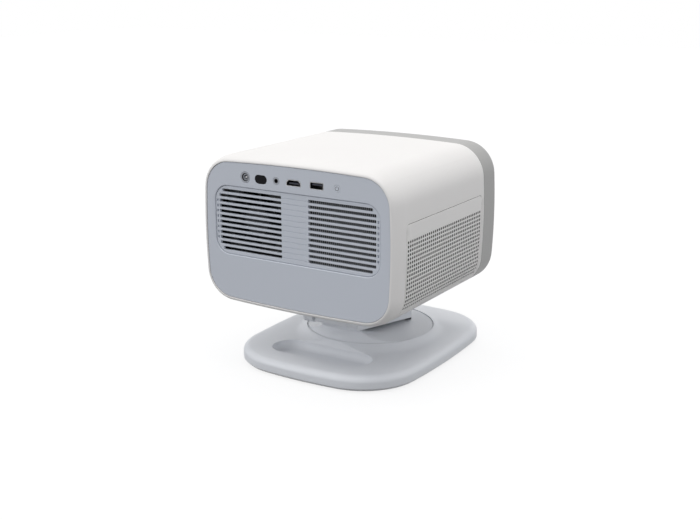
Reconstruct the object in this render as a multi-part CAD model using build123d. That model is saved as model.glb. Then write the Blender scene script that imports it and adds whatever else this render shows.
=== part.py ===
from build123d import *
import math
import os

# Compact video projector on a swivelling, tilting stand. Millimetres, +Z up, lens towards -Y.
# The origin lies on the ground, on the axis about which the head pans.

# Head
HEAD_HALF_WIDTH = 102.0
HEAD_HALF_HEIGHT = 69.6
HEAD_CENTRE_Z = 133.0
HEAD_REAR_Y = 129.2
SHELL_FRONT_Y = -37.2
HEAD_FRONT_Y = -66.3
SIDE_BULGE = 3.7
TOP_BULGE = 2.65
CORNER_RADIUS = 30.8
WALL = 2.5
REAR_ROUND_LENGTH = 17.2
REAR_ROUND_INSET = 5.0
REAR_RIM = 0.6
PANEL_THICKNESS = 3.0
PANEL_RECESS = 0.5
PANEL_LEDGE = 3.0
LEDGE_LENGTH = 6.0
SEAM = 0.3
BOSS_RADIUS = 4.5
SCREW_RADIUS = 1.5
SCREW_HEAD_RADIUS = 2.8
SCREW_HEAD_HEIGHT = 2.0
FIT = 0.05

# Front
FRONT_ROUND = 7.5
RING_LIP = 9.0
RING_WALL = 5.5
RING_SPIGOT = 7.0
FRONT_PANEL_THICKNESS = 2.4
FRONT_PANEL_RECESS = 3.0
LENS_X = 0.0
LENS_Z = 135.3
WINDOW_RADIUS = 31.0
WINDOW_THICKNESS = 2.0
TRIM_WIDTH = 3.0
SENSOR_X = 58.0
SENSOR_LENGTH = 26.0
SENSOR_HEIGHT = 11.0

# Rear louvre insert
GRILLE_HALF_WIDTH = HEAD_HALF_WIDTH - 15.8
GRILLE_BOTTOM_Z = 111.3
GRILLE_TOP_Z = 173.7
GRILLE_CORNER = 16.4
GRILLE_THICKNESS = 2.6
GRILLE_RECESS = 1.0
GRILLE_SEAT = 3.0
SLOT_ROWS = 12
SLOT_PITCH = 4.84
SLOT_HEIGHT = 2.5
SLOT_INNER_X = 14.1
SLOT_OUTER_X = GRILLE_HALF_WIDTH - 4.2
SLOT_END_STEP = 3.0
GROOVE_HEIGHT = 0.7
GROOVE_DEPTH = 0.6

# Sockets in the rear panel, as distances from the middle plane and one common height
PORT_Z = 183.5
DC_X = 51.6
DC_RADIUS = 3.2
DC_RING_RADIUS = 5.0
DC_PIN_RADIUS = 1.0
PORT_DEPTH = 11.0
WINDOW_X = 34.7
WINDOW_LENGTH = 12.6
WINDOW_HEIGHT = 8.6
AUDIO_X = 18.3
AUDIO_RADIUS = 1.8
AUDIO_RING_RADIUS = 3.3
AUDIO_DEPTH = 14.0
VIDEO_X = 0.0
VIDEO_WIDTH = 15.0
VIDEO_HEIGHT = 5.6
VIDEO_CHAMFER = 2.2
DATA_X = -23.8
DATA_WIDTH = 13.8
DATA_HEIGHT = 6.2
SOCKET_WALL = 0.5
TONGUE_THICKNESS = 1.6
BUTTON_X = -44.2
BUTTON_RADIUS = 3.0
BUTTON_TRAVEL = 0.8
BUTTON_GAP = 0.15
BUTTON_FLANGE = 1.2

# Perforated side panels
SIDE_TOP_Z = 155.6
SIDE_BOTTOM_Z = 77.0
SIDE_FRONT_Y = SHELL_FRONT_Y + 4.2
SIDE_REAR_Y = HEAD_REAR_Y - 17.8
SIDE_CORNER = 5.0
HOLE_TOP_Z = 140.4
HOLE_FRONT_Y = SIDE_FRONT_Y + 5.0
HOLE_REAR_Y = SIDE_REAR_Y - 3.1
HOLE_ROWS = 17
HOLE_PITCH = 3.67
HOLE_HEIGHT = 2.1
HOLE_SLOTS = 2
HOLE_BAR = 3.6
SPEAKER_Y = 38.0
SPEAKER_Z = 111.0
SPEAKER_RADIUS = 30.0
SPEAKER_DEPTH = 18.0
SPEAKER_FACE_X = HEAD_HALF_WIDTH - 10.0
BASKET_RIM = 3.0
BASKET_FLANGE = 6.0
CONE_RECESS = 2.0
CONE_WALL = 1.0
CONE_GAP = 0.2

# Inside of the head
CHASSIS_Z = 71.2
CHASSIS_THICKNESS = 2.0
CHASSIS_SCREW_MARGIN = 12.0
CHASSIS_HALF_WIDTH = HEAD_HALF_WIDTH - 24.0
CHASSIS_FRONT_Y = SHELL_FRONT_Y + 9.2
CHASSIS_REAR_Y = HEAD_REAR_Y - 13.0
ENGINE_WIDTH = 76.0
ENGINE_LENGTH = 58.0
ENGINE_HEIGHT = 44.0
ENGINE_REAR_Y = 58.0
BARREL_RADIUS = 22.0
BARREL_FRONT_Y = HEAD_FRONT_Y + 18.3
BARREL_BORE = 17.0
CELL_LENGTH = 26.0
FOCUS_TRAVEL = 1.5
SINK_INNER_X = 14.0
SINK_OUTER_X = SLOT_OUTER_X
SINK_FINS = 35
FIN_THICKNESS = 0.6
SINK_DEPTH = 24.0
SINK_BASE = 4.0
FAN_X = (SINK_INNER_X + SLOT_OUTER_X) / 2
FAN_Z = (GRILLE_BOTTOM_Z + GRILLE_TOP_Z) / 2
FAN_HALF = 31.0
FAN_DEPTH = 15.0
FAN_BLADES = 7
FAN_HUB_RADIUS = 13.0
FAN_TIP_RADIUS = 27.5
FAN_TIP_GAP = 1.2
FAN_SHAFT_RADIUS = 1.5
LIGHT_LENGTH = 28.0
PIPE_RADIUS = 3.0
BOARD_Z = 177.2
BOARD_THICKNESS = 1.6
BOARD_HALF_WIDTH = 66.0
BOARD_FRONT_Y = HEAD_REAR_Y - 59.0
BOARD_POST_X = 60.0

# Hinge between head and turntable
TILT_Y = 63.5
TILT_Z = 49.0
KNUCKLE_RADIUS = 9.0
KNUCKLE_HALF_WIDTH = 19.0
WASHER_THICKNESS = 0.6
WASHER_RADIUS = 7.5
SADDLE_HALF_WIDTH = 29.5
SADDLE_REAR_Y = 73.5
SADDLE_FRONT_Y = -36.0
SADDLE_LOW_Z = 39.2
SADDLE_SLOPE = 8.6
SADDLE_CORNER = 4.5
SADDLE_ROOF = 4.5
SADDLE_NOSE = 8.0
CHEEK_GAP = 0.8
SADDLE_SCREW_X = 12.0
SADDLE_SCREW_MARGIN = 14.0
PIN_RADIUS = 3.0
CAP_RADIUS = 5.0
CAP_THICKNESS = 2.0

# Turntable
DISC_RADIUS = 62.1
DISC_TOP_Z = 21.5
DISC_BOTTOM_Z = 15.3
DISC_EDGE_RADIUS = 1.6
DOME_HALF_WIDTH = 44.0
DOME_FRONT_Y = -22.0
DOME_REAR_Y = 59.0
NECK_FRONT_Y = 54.5
NECK_REAR_Y = 68.5
NECK_TOP_Z = 43.0
NECK_STEP = 0.2
SHAFT_RADIUS = 12.0
SHAFT_BORE = 7.0
SHAFT_FLANGE_RADIUS = 20.0
SHAFT_FLANGE = 2.0
NUT_RADIUS = 17.0
NUT_HEIGHT = 2.6
REST_PAD_RADIUS = 4.0
REST_PAD_X = 25.0
REST_PAD_Y = -30.0

# Foot
FOOT_HALF_WIDTH = 92.8
FOOT_HALF_DEPTH = 113.6
FOOT_CENTRE_Y = 13.5
FOOT_SIDE_BULGE = 7.0
FOOT_END_BULGE = 9.0
FOOT_CORNER = 57.3
FOOT_PLATEAU_Z = 15.4
FOOT_CREST_Z = 22.1
FOOT_CREST_WIDTH = 18.0
FOOT_ROUND = 9.5
FOOT_UNDERCUT = 3.0
FOOT_LIFT = 1.5
FOOT_WALL = 6.0
FOOT_ROOF = 3.5
DISC_GAP = 0.6
POCKET_Z = 14.4
PAD_THICKNESS = 1.2
PAD_INSET = 9.0
PLATE_THICKNESS = 2.0
PLATE_GAP = 0.3
BALLAST_THICKNESS = 4.0
BOSS_OUTER_RADIUS = 21.0
BUSH_OUTER_RADIUS = 15.0
BUSH_BOTTOM_Z = 7.4
RECESS_X = 2.7
RECESS_Y = 84.2
RECESS_LENGTH = 112.0
RECESS_WIDTH = 42.0
RECESS_FLOOR_Z = 7.4
RECESS_FLOOR_INSET = 7.0
RECESS_BLEND = 5.0
RECESS_WALL = 3.0
FOOT_SCREW_X = FOOT_HALF_WIDTH - 33.0
FOOT_SCREW_Y = FOOT_HALF_DEPTH - 31.0
SLIDE_RING_RADIUS = 46.0
SLIDE_RING_WIDTH = 8.0
SLIDE_RING_THICKNESS = 0.6

PANEL_FACE_Y = HEAD_REAR_Y - PANEL_RECESS
PANEL_BACK_Y = PANEL_FACE_Y - PANEL_THICKNESS
PANEL_INSET = REAR_ROUND_INSET + REAR_RIM + SEAM
GRILLE_FACE_Y = PANEL_FACE_Y - GRILLE_RECESS
GRILLE_BACK_Y = GRILLE_FACE_Y - GRILLE_THICKNESS
GRILLE_MIDDLE_Z = (GRILLE_TOP_Z + GRILLE_BOTTOM_Z) / 2
GRILLE_HEIGHT = GRILLE_TOP_Z - GRILLE_BOTTOM_Z
FRONT_PANEL_Y = HEAD_FRONT_Y + FRONT_PANEL_RECESS
ENGINE_BOTTOM_Z = LENS_Z - ENGINE_HEIGHT / 2
ENGINE_FRONT_Y = ENGINE_REAR_Y - ENGINE_LENGTH
HEAD_BOTTOM_Z = HEAD_CENTRE_Z - HEAD_HALF_HEIGHT
HEAD_TOP_Z = HEAD_CENTRE_Z + HEAD_HALF_HEIGHT
SADDLE_TOP_Z = HEAD_BOTTOM_Z
CHEEK_INNER_X = KNUCKLE_HALF_WIDTH + CHEEK_GAP
PLATE_Z = PAD_THICKNESS + PLATE_THICKNESS
CAVITY_TOP_Z = FOOT_PLATEAU_Z - FOOT_ROOF
FOOT_SCREWS = [(x, y) for x in (-FOOT_SCREW_X, FOOT_SCREW_X)
               for y in (FOOT_CENTRE_Y - FOOT_SCREW_Y, FOOT_CENTRE_Y + FOOT_SCREW_Y)]
SADDLE_SCREWS = [(x, y) for x in (-SADDLE_SCREW_X, SADDLE_SCREW_X)
                 for y in (SADDLE_FRONT_Y + SADDLE_SCREW_MARGIN, TILT_Y - 30.0)]
CHASSIS_SCREW_X = CHASSIS_HALF_WIDTH - CHASSIS_SCREW_MARGIN
CHASSIS_SCREWS = [(x, y) for x in (-CHASSIS_SCREW_X, CHASSIS_SCREW_X)
                  for y in (CHASSIS_FRONT_Y + CHASSIS_SCREW_MARGIN, CHASSIS_REAR_Y - 22.0)]


def upright(y, z=HEAD_CENTRE_Z, x=0.0):
    """Plane facing the front: its first axis is +X and its second +Z"""
    return Plane(origin=(x, y, z), x_dir=(1, 0, 0), z_dir=(0, -1, 0))


def sideways(x=0.0):
    """Plane facing +X: its first axis is +Y and its second +Z"""
    return Plane(origin=(x, 0, 0), x_dir=(0, 1, 0), z_dir=(1, 0, 0))


def prism(sketch, rear_y, front_y, z=HEAD_CENTRE_Z, x=0.0):
    """A sketch of the XZ plane carried from rear_y forwards to front_y"""
    return extrude(upright(rear_y, z, x) * sketch, amount=rear_y - front_y)


def rod(radius, x, z, rear_y, front_y):
    """Round bar along Y"""
    return prism(Circle(radius), rear_y, front_y, z, x)


def post(radius, x, y, low_z, high_z):
    """Round bar along Z"""
    return Pos(x, y, low_z) * extrude(Circle(radius), amount=high_z - low_z)


def bolt(radius, x, y, low_z, high_z):
    """Six-sided bar along Z"""
    return Pos(x, y, low_z) * extrude(RegularPolygon(radius, 6), amount=high_z - low_z)


def axle(radius, y, z, low_x, high_x):
    """Round bar along X"""
    plane = Plane(origin=(low_x, y, z), x_dir=(0, 1, 0), z_dir=(1, 0, 0))
    return extrude(plane * Circle(radius), amount=high_x - low_x)


def block(low, high):
    """Square-edged block between two opposite corners"""
    size = [b - a for a, b in zip(low, high)]
    middle = [(a + b) / 2 for a, b in zip(low, high)]
    return Pos(*middle) * Box(*size)


def bulging_rectangle(half_w, half_h, side_bulge, end_bulge, corner):
    """Rounded rectangle whose four sides swell outwards"""
    x, y = half_w - side_bulge, half_h - end_bulge
    sides = [
        ThreePointArc((x, -y), (half_w, 0), (x, y)),
        ThreePointArc((x, y), (0, half_h), (-x, y)),
        ThreePointArc((-x, y), (-half_w, 0), (-x, -y)),
        ThreePointArc((-x, -y), (0, -half_h), (x, -y)),
    ]
    outline = make_face(sides)
    return fillet(outline.vertices(), corner)


def pillow(inset=0.0):
    """Section of the head, drawn in by inset"""
    return bulging_rectangle(HEAD_HALF_WIDTH - inset, HEAD_HALF_HEIGHT - inset, SIDE_BULGE, TOP_BULGE,
                             CORNER_RADIUS - inset)


def rounded_end(start_y, end_y, inset):
    """Quarter-ellipse rounding of the head's section from start_y to end_y"""
    steps = [0.0, 0.6, 0.9, 1.0]
    sections = []
    for share in steps:
        drawn_in = inset * (1 - math.sqrt(1 - share * share))
        y = start_y + (end_y - start_y) * share
        sections.append(upright(y) * pillow(drawn_in))
    return loft(sections)


def head_outer():
    """Full outer body of the shell, before it is hollowed"""
    start_y = HEAD_REAR_Y - REAR_ROUND_LENGTH
    return prism(pillow(), start_y, SHELL_FRONT_Y) + rounded_end(start_y, HEAD_REAR_Y, REAR_ROUND_INSET)


def side_window(gap=0.0):
    """Rounded block through both side walls, the outline of the perforated panels"""
    length = SIDE_REAR_Y - SIDE_FRONT_Y + 2 * gap
    height = SIDE_TOP_Z - SIDE_BOTTOM_Z + 2 * gap
    middle = ((SIDE_REAR_Y + SIDE_FRONT_Y) / 2, (SIDE_TOP_Z + SIDE_BOTTOM_Z) / 2)
    outline = sideways() * (Pos(*middle) * RectangleRounded(length, height, SIDE_CORNER + gap))
    return extrude(outline, amount=HEAD_HALF_WIDTH + 1, both=True)


def make_head_shell(outer):
    """One-piece moulded sleeve with bosses for saddle, chassis and main board"""
    ledge_back_y = PANEL_BACK_Y - LEDGE_LENGTH
    shell = outer - prism(pillow(WALL), ledge_back_y, SHELL_FRONT_Y)
    shell -= prism(pillow(PANEL_INSET + PANEL_LEDGE), PANEL_BACK_Y, ledge_back_y)
    shell -= prism(pillow(PANEL_INSET - SEAM), HEAD_REAR_Y, PANEL_BACK_Y)
    core = CORNER_RADIUS - SIDE_CORNER
    shell -= side_window(SEAM) - block((core - HEAD_HALF_WIDTH, SIDE_FRONT_Y - 2, SIDE_BOTTOM_Z - 2),
                                       (HEAD_HALF_WIDTH - core, SIDE_REAR_Y + 2, SIDE_TOP_Z + 2))
    floor_z = HEAD_BOTTOM_Z + WALL / 2
    for x, y in SADDLE_SCREWS + CHASSIS_SCREWS:
        shell += post(BOSS_RADIUS, x, y, floor_z, CHASSIS_Z)
    for x, y in SADDLE_SCREWS:
        shell -= post(SCREW_RADIUS, x, y, HEAD_BOTTOM_Z - 1, CHASSIS_Z - 1)
    for x, y in CHASSIS_SCREWS:
        shell -= post(SCREW_RADIUS, x, y, CHASSIS_Z - 4, CHASSIS_Z + 1)
    roof_z = HEAD_TOP_Z - WALL / 2 - TOP_BULGE / 2
    for x, y in board_posts():
        shell += post(BOSS_RADIUS, x, y, BOARD_Z + BOARD_THICKNESS, roof_z)
        shell -= post(SCREW_RADIUS, x, y, BOARD_Z, BOARD_Z + BOARD_THICKNESS + 5)
    return shell


def board_posts():
    """Places of the four posts that hang from the roof and carry the main board"""
    return [(x, y) for x in (-BOARD_POST_X, BOARD_POST_X) for y in (BOARD_FRONT_Y + 6, HEAD_REAR_Y - 24)]


def make_side_grille(outer, side):
    """Perforated wall panel in rows of long slots, one row for each row of holes"""
    panel = (outer & side_window()) - prism(pillow(WALL), HEAD_REAR_Y, SHELL_FRONT_Y)
    panel &= block((HEAD_HALF_WIDTH / 2 * side - HEAD_HALF_WIDTH / 2, SHELL_FRONT_Y, SIDE_BOTTOM_Z - 1),
                   (HEAD_HALF_WIDTH / 2 * side + HEAD_HALF_WIDTH / 2, HEAD_REAR_Y, SIDE_TOP_Z + 1))
    field = HOLE_REAR_Y - HOLE_FRONT_Y
    slot = (field - (HOLE_SLOTS - 1) * HOLE_BAR) / HOLE_SLOTS
    slots = []
    for row in range(HOLE_ROWS):
        z = HOLE_TOP_Z - row * HOLE_PITCH
        for column in range(HOLE_SLOTS):
            low_y = HOLE_FRONT_Y + column * (slot + HOLE_BAR)
            inner, far = side * HEAD_HALF_WIDTH * 0.85, side * (HEAD_HALF_WIDTH + 1)
            slots.append(block((min(inner, far), low_y, z - HOLE_HEIGHT / 2),
                               (max(inner, far), low_y + slot, z + HOLE_HEIGHT / 2)))
    return panel - slots


def make_rear_panel():
    """Rear panel with the louvre opening and one hole for each socket"""
    panel = prism(pillow(PANEL_INSET), PANEL_FACE_Y, PANEL_BACK_Y)
    opening = RectangleRounded(2 * (GRILLE_HALF_WIDTH + SEAM), GRILLE_HEIGHT + 2 * SEAM, GRILLE_CORNER + SEAM)
    panel -= prism(opening, PANEL_FACE_Y + 1, PANEL_BACK_Y - 1, GRILLE_MIDDLE_Z)
    for hole in port_cutters(SEAM / 2):
        panel -= hole
    return panel


def port_cutters(gap):
    """Solids through the rear panel, larger than each socket's nose by gap"""
    rear_y, front_y = PANEL_FACE_Y + 1, PANEL_BACK_Y - 1
    return [
        rod(DC_RING_RADIUS + gap, DC_X, PORT_Z, rear_y, front_y),
        prism(SlotOverall(WINDOW_LENGTH + 2 * gap, WINDOW_HEIGHT + 2 * gap), rear_y, front_y, PORT_Z, WINDOW_X),
        rod(AUDIO_RING_RADIUS + gap, AUDIO_X, PORT_Z, rear_y, front_y),
        prism(video_outline(gap), rear_y, front_y, PORT_Z, VIDEO_X),
        prism(Rectangle(DATA_WIDTH + 2 * gap, DATA_HEIGHT + 2 * gap), rear_y, front_y, PORT_Z, DATA_X),
        rod(BUTTON_RADIUS + BUTTON_GAP, BUTTON_X, PORT_Z, rear_y, front_y),
    ]


def video_outline(gap=0.0):
    """Wide socket outline with its two lower corners cut off"""
    w, h = VIDEO_WIDTH / 2 + gap, VIDEO_HEIGHT / 2 + gap
    cut = VIDEO_CHAMFER
    corners = [(-w, h), (w, h), (w, cut - h), (w - cut, -h), (cut - w, -h), (-w, cut - h)]
    return make_face(Polyline(*corners, close=True))


def slot_rows():
    """Height of each louvre row and how far its slots are cut short at the outer end"""
    rows = []
    for row in range(SLOT_ROWS):
        z = GRILLE_MIDDLE_Z + (row - (SLOT_ROWS - 1) / 2) * SLOT_PITCH
        at_end = row in (0, SLOT_ROWS - 1)
        rows.append((z, SLOT_END_STEP if at_end else 0.0))
    return rows


def make_rear_grille():
    """Louvre insert: two groups of slots and the fine grooves that join them across the middle"""
    plate = prism(RectangleRounded(2 * GRILLE_HALF_WIDTH, GRILLE_HEIGHT, GRILLE_CORNER),
                  GRILLE_FACE_Y, GRILLE_BACK_Y, GRILLE_MIDDLE_Z)
    flange_front_y = PANEL_BACK_Y - 1.2
    flange = prism(RectangleRounded(2 * (GRILLE_HALF_WIDTH + GRILLE_SEAT), GRILLE_HEIGHT + 2 * GRILLE_SEAT,
                                    GRILLE_CORNER + GRILLE_SEAT), PANEL_BACK_Y, flange_front_y, GRILLE_MIDDLE_Z)
    flange -= prism(RectangleRounded(2 * GRILLE_HALF_WIDTH - 3, GRILLE_HEIGHT - 3, GRILLE_CORNER - 1.5),
                    PANEL_BACK_Y + 1, flange_front_y - 1, GRILLE_MIDDLE_Z)
    plate = plate + flange
    cuts = []
    for z, short in slot_rows():
        for side in (-1, 1):
            low, high = sorted((side * SLOT_INNER_X, side * (SLOT_OUTER_X - short)))
            cuts.append(block((low, flange_front_y - 1, z - SLOT_HEIGHT / 2),
                              (high, GRILLE_FACE_Y + 1, z + SLOT_HEIGHT / 2)))
        cuts.append(block((-SLOT_INNER_X, GRILLE_FACE_Y - GROOVE_DEPTH, z - GROOVE_HEIGHT / 2),
                          (SLOT_INNER_X, GRILLE_FACE_Y + 1, z + GROOVE_HEIGHT / 2)))
    return plate - cuts


def make_front_ring():
    """Front bezel ring: rounded outside, spigot into the shell, lip in front of the panel"""
    ring_rear_y = SHELL_FRONT_Y - SEAM
    ring = prism(pillow(), ring_rear_y, HEAD_FRONT_Y)
    ring = fillet(ring.faces().sort_by(Axis.Y)[0].edges(), FRONT_ROUND)
    ring += prism(pillow(WALL + FIT * 4), ring_rear_y + RING_SPIGOT, ring_rear_y)
    ring -= prism(pillow(RING_WALL), ring_rear_y + RING_SPIGOT + 1, FRONT_PANEL_Y + FRONT_PANEL_THICKNESS)
    ring -= prism(pillow(RING_WALL), FRONT_PANEL_Y + FRONT_PANEL_THICKNESS + 1, FRONT_PANEL_Y)
    return ring - prism(pillow(RING_LIP), FRONT_PANEL_Y + 1, HEAD_FRONT_Y - 1)


def make_front_panel():
    """Flat front panel with the round lens opening and the sensor slot"""
    panel = prism(pillow(RING_WALL + SEAM), FRONT_PANEL_Y + FRONT_PANEL_THICKNESS, FRONT_PANEL_Y)
    panel -= rod(WINDOW_RADIUS + TRIM_WIDTH, LENS_X, LENS_Z, FRONT_PANEL_Y + 5, FRONT_PANEL_Y - 1)
    slot = SlotOverall(SENSOR_LENGTH + 2 * FIT, SENSOR_HEIGHT + 2 * FIT)
    return panel - prism(slot, FRONT_PANEL_Y + 5, FRONT_PANEL_Y - 1, LENS_Z, SENSOR_X)


def make_lens_trim():
    """Stepped ring that carries the lens window in the front panel"""
    outer = WINDOW_RADIUS + TRIM_WIDTH - FIT
    back_y = FRONT_PANEL_Y + FRONT_PANEL_THICKNESS
    ring = rod(outer, LENS_X, LENS_Z, back_y, FRONT_PANEL_Y - 0.8)
    ring += rod(outer + 2, LENS_X, LENS_Z, back_y + 1.5, back_y)
    ring -= rod(WINDOW_RADIUS + FIT, LENS_X, LENS_Z, back_y, FRONT_PANEL_Y - 2)
    return ring - rod(WINDOW_RADIUS - 2, LENS_X, LENS_Z, back_y + 3, FRONT_PANEL_Y - 2)


def make_lens_window():
    """Flat cover glass seated against the step of the trim ring"""
    back_y = FRONT_PANEL_Y + FRONT_PANEL_THICKNESS
    return rod(WINDOW_RADIUS, LENS_X, LENS_Z, back_y, back_y - WINDOW_THICKNESS)


def make_sensor_window():
    """Dark window over the distance sensor and camera"""
    back_y = FRONT_PANEL_Y + FRONT_PANEL_THICKNESS
    window = prism(SlotOverall(SENSOR_LENGTH, SENSOR_HEIGHT), back_y, FRONT_PANEL_Y, LENS_Z, SENSOR_X)
    rim = SlotOverall(SENSOR_LENGTH + 4, SENSOR_HEIGHT + 4)
    return window + prism(rim, back_y + 1, back_y, LENS_Z, SENSOR_X)


def make_camera_module():
    """Small camera behind the sensor window, on its own little board"""
    back_y = FRONT_PANEL_Y + FRONT_PANEL_THICKNESS + 1
    module = prism(Rectangle(SENSOR_LENGTH - 4, SENSOR_HEIGHT), back_y + 4, back_y, LENS_Z, SENSOR_X)
    board = Rectangle(SENSOR_LENGTH + 4, SENSOR_HEIGHT + 6)
    return module + prism(board, back_y + 5.6, back_y + 4, LENS_Z, SENSOR_X)


def make_chassis():
    """Bent sheet tray on the shell's bosses, with one upright ear for each speaker"""
    top_z = CHASSIS_Z + CHASSIS_THICKNESS
    ear_x = CHASSIS_HALF_WIDTH
    tray = block((-ear_x, CHASSIS_FRONT_Y, CHASSIS_Z), (ear_x, CHASSIS_REAR_Y, top_z))
    for side in (-1, 1):
        low, high = sorted((side * ear_x, side * (ear_x - CHASSIS_THICKNESS)))
        ear = block((low, SPEAKER_Y - SPEAKER_RADIUS - 3, top_z),
                    (high, SPEAKER_Y + SPEAKER_RADIUS + 3, SPEAKER_Z + SPEAKER_RADIUS))
        tray += ear
        tray -= axle(SPEAKER_RADIUS - BASKET_FLANGE, SPEAKER_Y, SPEAKER_Z, low - 1, high + 1)
    for x, y in CHASSIS_SCREWS:
        tray -= post(SCREW_RADIUS + 0.2, x, y, CHASSIS_Z - 1, top_z + 1)
    return tray


def screw(x, y, seat_z, length, head_up=True):
    """Hexagon screw whose head sits on seat_z"""
    turn = 1 if head_up else -1
    head = bolt(SCREW_HEAD_RADIUS, x, y, *sorted((seat_z, seat_z + turn * SCREW_HEAD_HEIGHT)))
    return head + bolt(SCREW_RADIUS - FIT, x, y, *sorted((seat_z, seat_z - turn * length)))


def make_speaker_basket(side):
    """Speaker basket with its flange on the chassis ear and the magnet inside"""
    depth = SPEAKER_FACE_X - CHASSIS_HALF_WIDTH
    low = CHASSIS_HALF_WIDTH - 12
    rim = axle(SPEAKER_RADIUS, SPEAKER_Y, SPEAKER_Z, CHASSIS_HALF_WIDTH, CHASSIS_HALF_WIDTH + depth)
    body = axle(SPEAKER_RADIUS - BASKET_FLANGE - FIT, SPEAKER_Y, SPEAKER_Z, low, CHASSIS_HALF_WIDTH)
    magnet = axle(SPEAKER_RADIUS / 2, SPEAKER_Y, SPEAKER_Z, low - 8, low)
    dish = Plane(origin=(SPEAKER_FACE_X, SPEAKER_Y, SPEAKER_Z), x_dir=(0, 1, 0), z_dir=(-1, 0, 0))
    throat = dish.offset(SPEAKER_DEPTH) * Circle(SPEAKER_RADIUS / 2)
    bowl = loft([dish * Circle(SPEAKER_RADIUS - BASKET_RIM), throat])
    basket = rim + body + magnet - bowl
    return basket if side > 0 else mirror(basket, Plane.YZ)


def make_speaker_cone(side):
    """Thin cone with its dust cap, just inside the basket's bowl"""
    mouth_x = SPEAKER_FACE_X - CONE_RECESS
    throat_x = SPEAKER_FACE_X - SPEAKER_DEPTH + CONE_RECESS
    slope = (SPEAKER_RADIUS / 2 - BASKET_RIM) / SPEAKER_DEPTH
    mouth_r = SPEAKER_RADIUS - BASKET_RIM - CONE_RECESS * slope - CONE_GAP
    throat_r = mouth_r - (mouth_x - throat_x) * slope
    cap_r = throat_r * 0.7
    rise = throat_x + CONE_WALL
    profile = [(mouth_x, mouth_r), (throat_x, throat_r), (throat_x, 0), (rise + 5, 0), (rise + 3, cap_r * 0.7),
               (rise, cap_r), (rise, throat_r - CONE_WALL), (mouth_x, mouth_r - CONE_WALL)]
    plane = Plane(origin=(0, SPEAKER_Y, SPEAKER_Z), x_dir=(1, 0, 0), z_dir=(0, -1, 0))
    cone = revolve(plane * make_face(Polyline(*profile, close=True)), Axis((0, SPEAKER_Y, SPEAKER_Z), (1, 0, 0)))
    return cone if side > 0 else mirror(cone, Plane.YZ)


def make_engine_bracket():
    """Cast bracket that holds the optical engine on the chassis"""
    top_z = CHASSIS_Z + CHASSIS_THICKNESS
    half = ENGINE_WIDTH / 2 - 6
    foot = block((-half, ENGINE_FRONT_Y + 4, top_z), (half, ENGINE_REAR_Y - 4, top_z + 3))
    for side in (-1, 1):
        low, high = sorted((side * half, side * (half - 4)))
        foot += block((low, ENGINE_FRONT_Y + 4, top_z + 3), (high, ENGINE_REAR_Y - 4, ENGINE_BOTTOM_Z))
    return foot


def make_optical_engine():
    """Engine housing with the collar that the lens barrel is bolted to"""
    half = ENGINE_WIDTH / 2
    engine = block((LENS_X - half, ENGINE_FRONT_Y, ENGINE_BOTTOM_Z),
                   (LENS_X + half, ENGINE_REAR_Y, ENGINE_BOTTOM_Z + ENGINE_HEIGHT))
    engine = fillet(engine.edges().filter_by(Axis.Z), 5)
    engine += rod(BARREL_RADIUS - 4, LENS_X, LENS_Z, ENGINE_FRONT_Y, ENGINE_FRONT_Y - 5)
    return engine - rod(BARREL_BORE - 5, LENS_X, LENS_Z, ENGINE_FRONT_Y + 12, ENGINE_FRONT_Y - 6)


def make_lens_barrel():
    """Stepped lens barrel with a slot for the focus arm"""
    rear_y = ENGINE_FRONT_Y
    barrel = rod(BARREL_RADIUS, LENS_X, LENS_Z, rear_y, BARREL_FRONT_Y)
    barrel += rod(BARREL_RADIUS + 4, LENS_X, LENS_Z, rear_y, rear_y - 4)
    barrel -= rod(BARREL_RADIUS - 4 + FIT, LENS_X, LENS_Z, rear_y + 1, rear_y - 5 - FIT)
    barrel -= rod(BARREL_BORE, LENS_X, LENS_Z, rear_y - 4, BARREL_FRONT_Y - 1)
    arm_y = cell_rear_y() - CELL_LENGTH / 2
    slot = block((LENS_X - 3, arm_y - 3.2 - FOCUS_TRAVEL, LENS_Z),
                 (LENS_X + 3, arm_y + 3.2, LENS_Z + BARREL_RADIUS + 1))
    return barrel - slot


def cell_rear_y():
    """Rear end of the focus cell at rest"""
    return BARREL_FRONT_Y + 8 + CELL_LENGTH


def make_focus_cell():
    """Sliding lens cell with the arm that the focus motor's screw drives"""
    rear_y = cell_rear_y()
    cell = rod(BARREL_BORE - FIT, LENS_X, LENS_Z, rear_y, rear_y - CELL_LENGTH)
    cell -= rod(BARREL_BORE - 3, LENS_X, LENS_Z, rear_y + 1, rear_y - CELL_LENGTH - 1)
    arm_y = rear_y - CELL_LENGTH / 2
    arm = block((LENS_X - 2.5, arm_y - 2.5, LENS_Z + BARREL_BORE - 2),
                (LENS_X + 2.5, arm_y + 2.5, LENS_Z + BARREL_RADIUS + 9))
    return cell + arm - rod(1.1, LENS_X, LENS_Z + BARREL_RADIUS + 6, arm_y + 5, arm_y - 5)


def make_focus_glass():
    """Two lens elements held in the focus cell"""
    rear_y = cell_rear_y()
    radius = BARREL_BORE - 3
    front_y = rear_y - CELL_LENGTH
    front = rod(radius, LENS_X, LENS_Z, front_y + 6, front_y + 1)
    back = rod(radius, LENS_X, LENS_Z, rear_y - 1, rear_y - 5)
    return [front, back]


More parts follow.
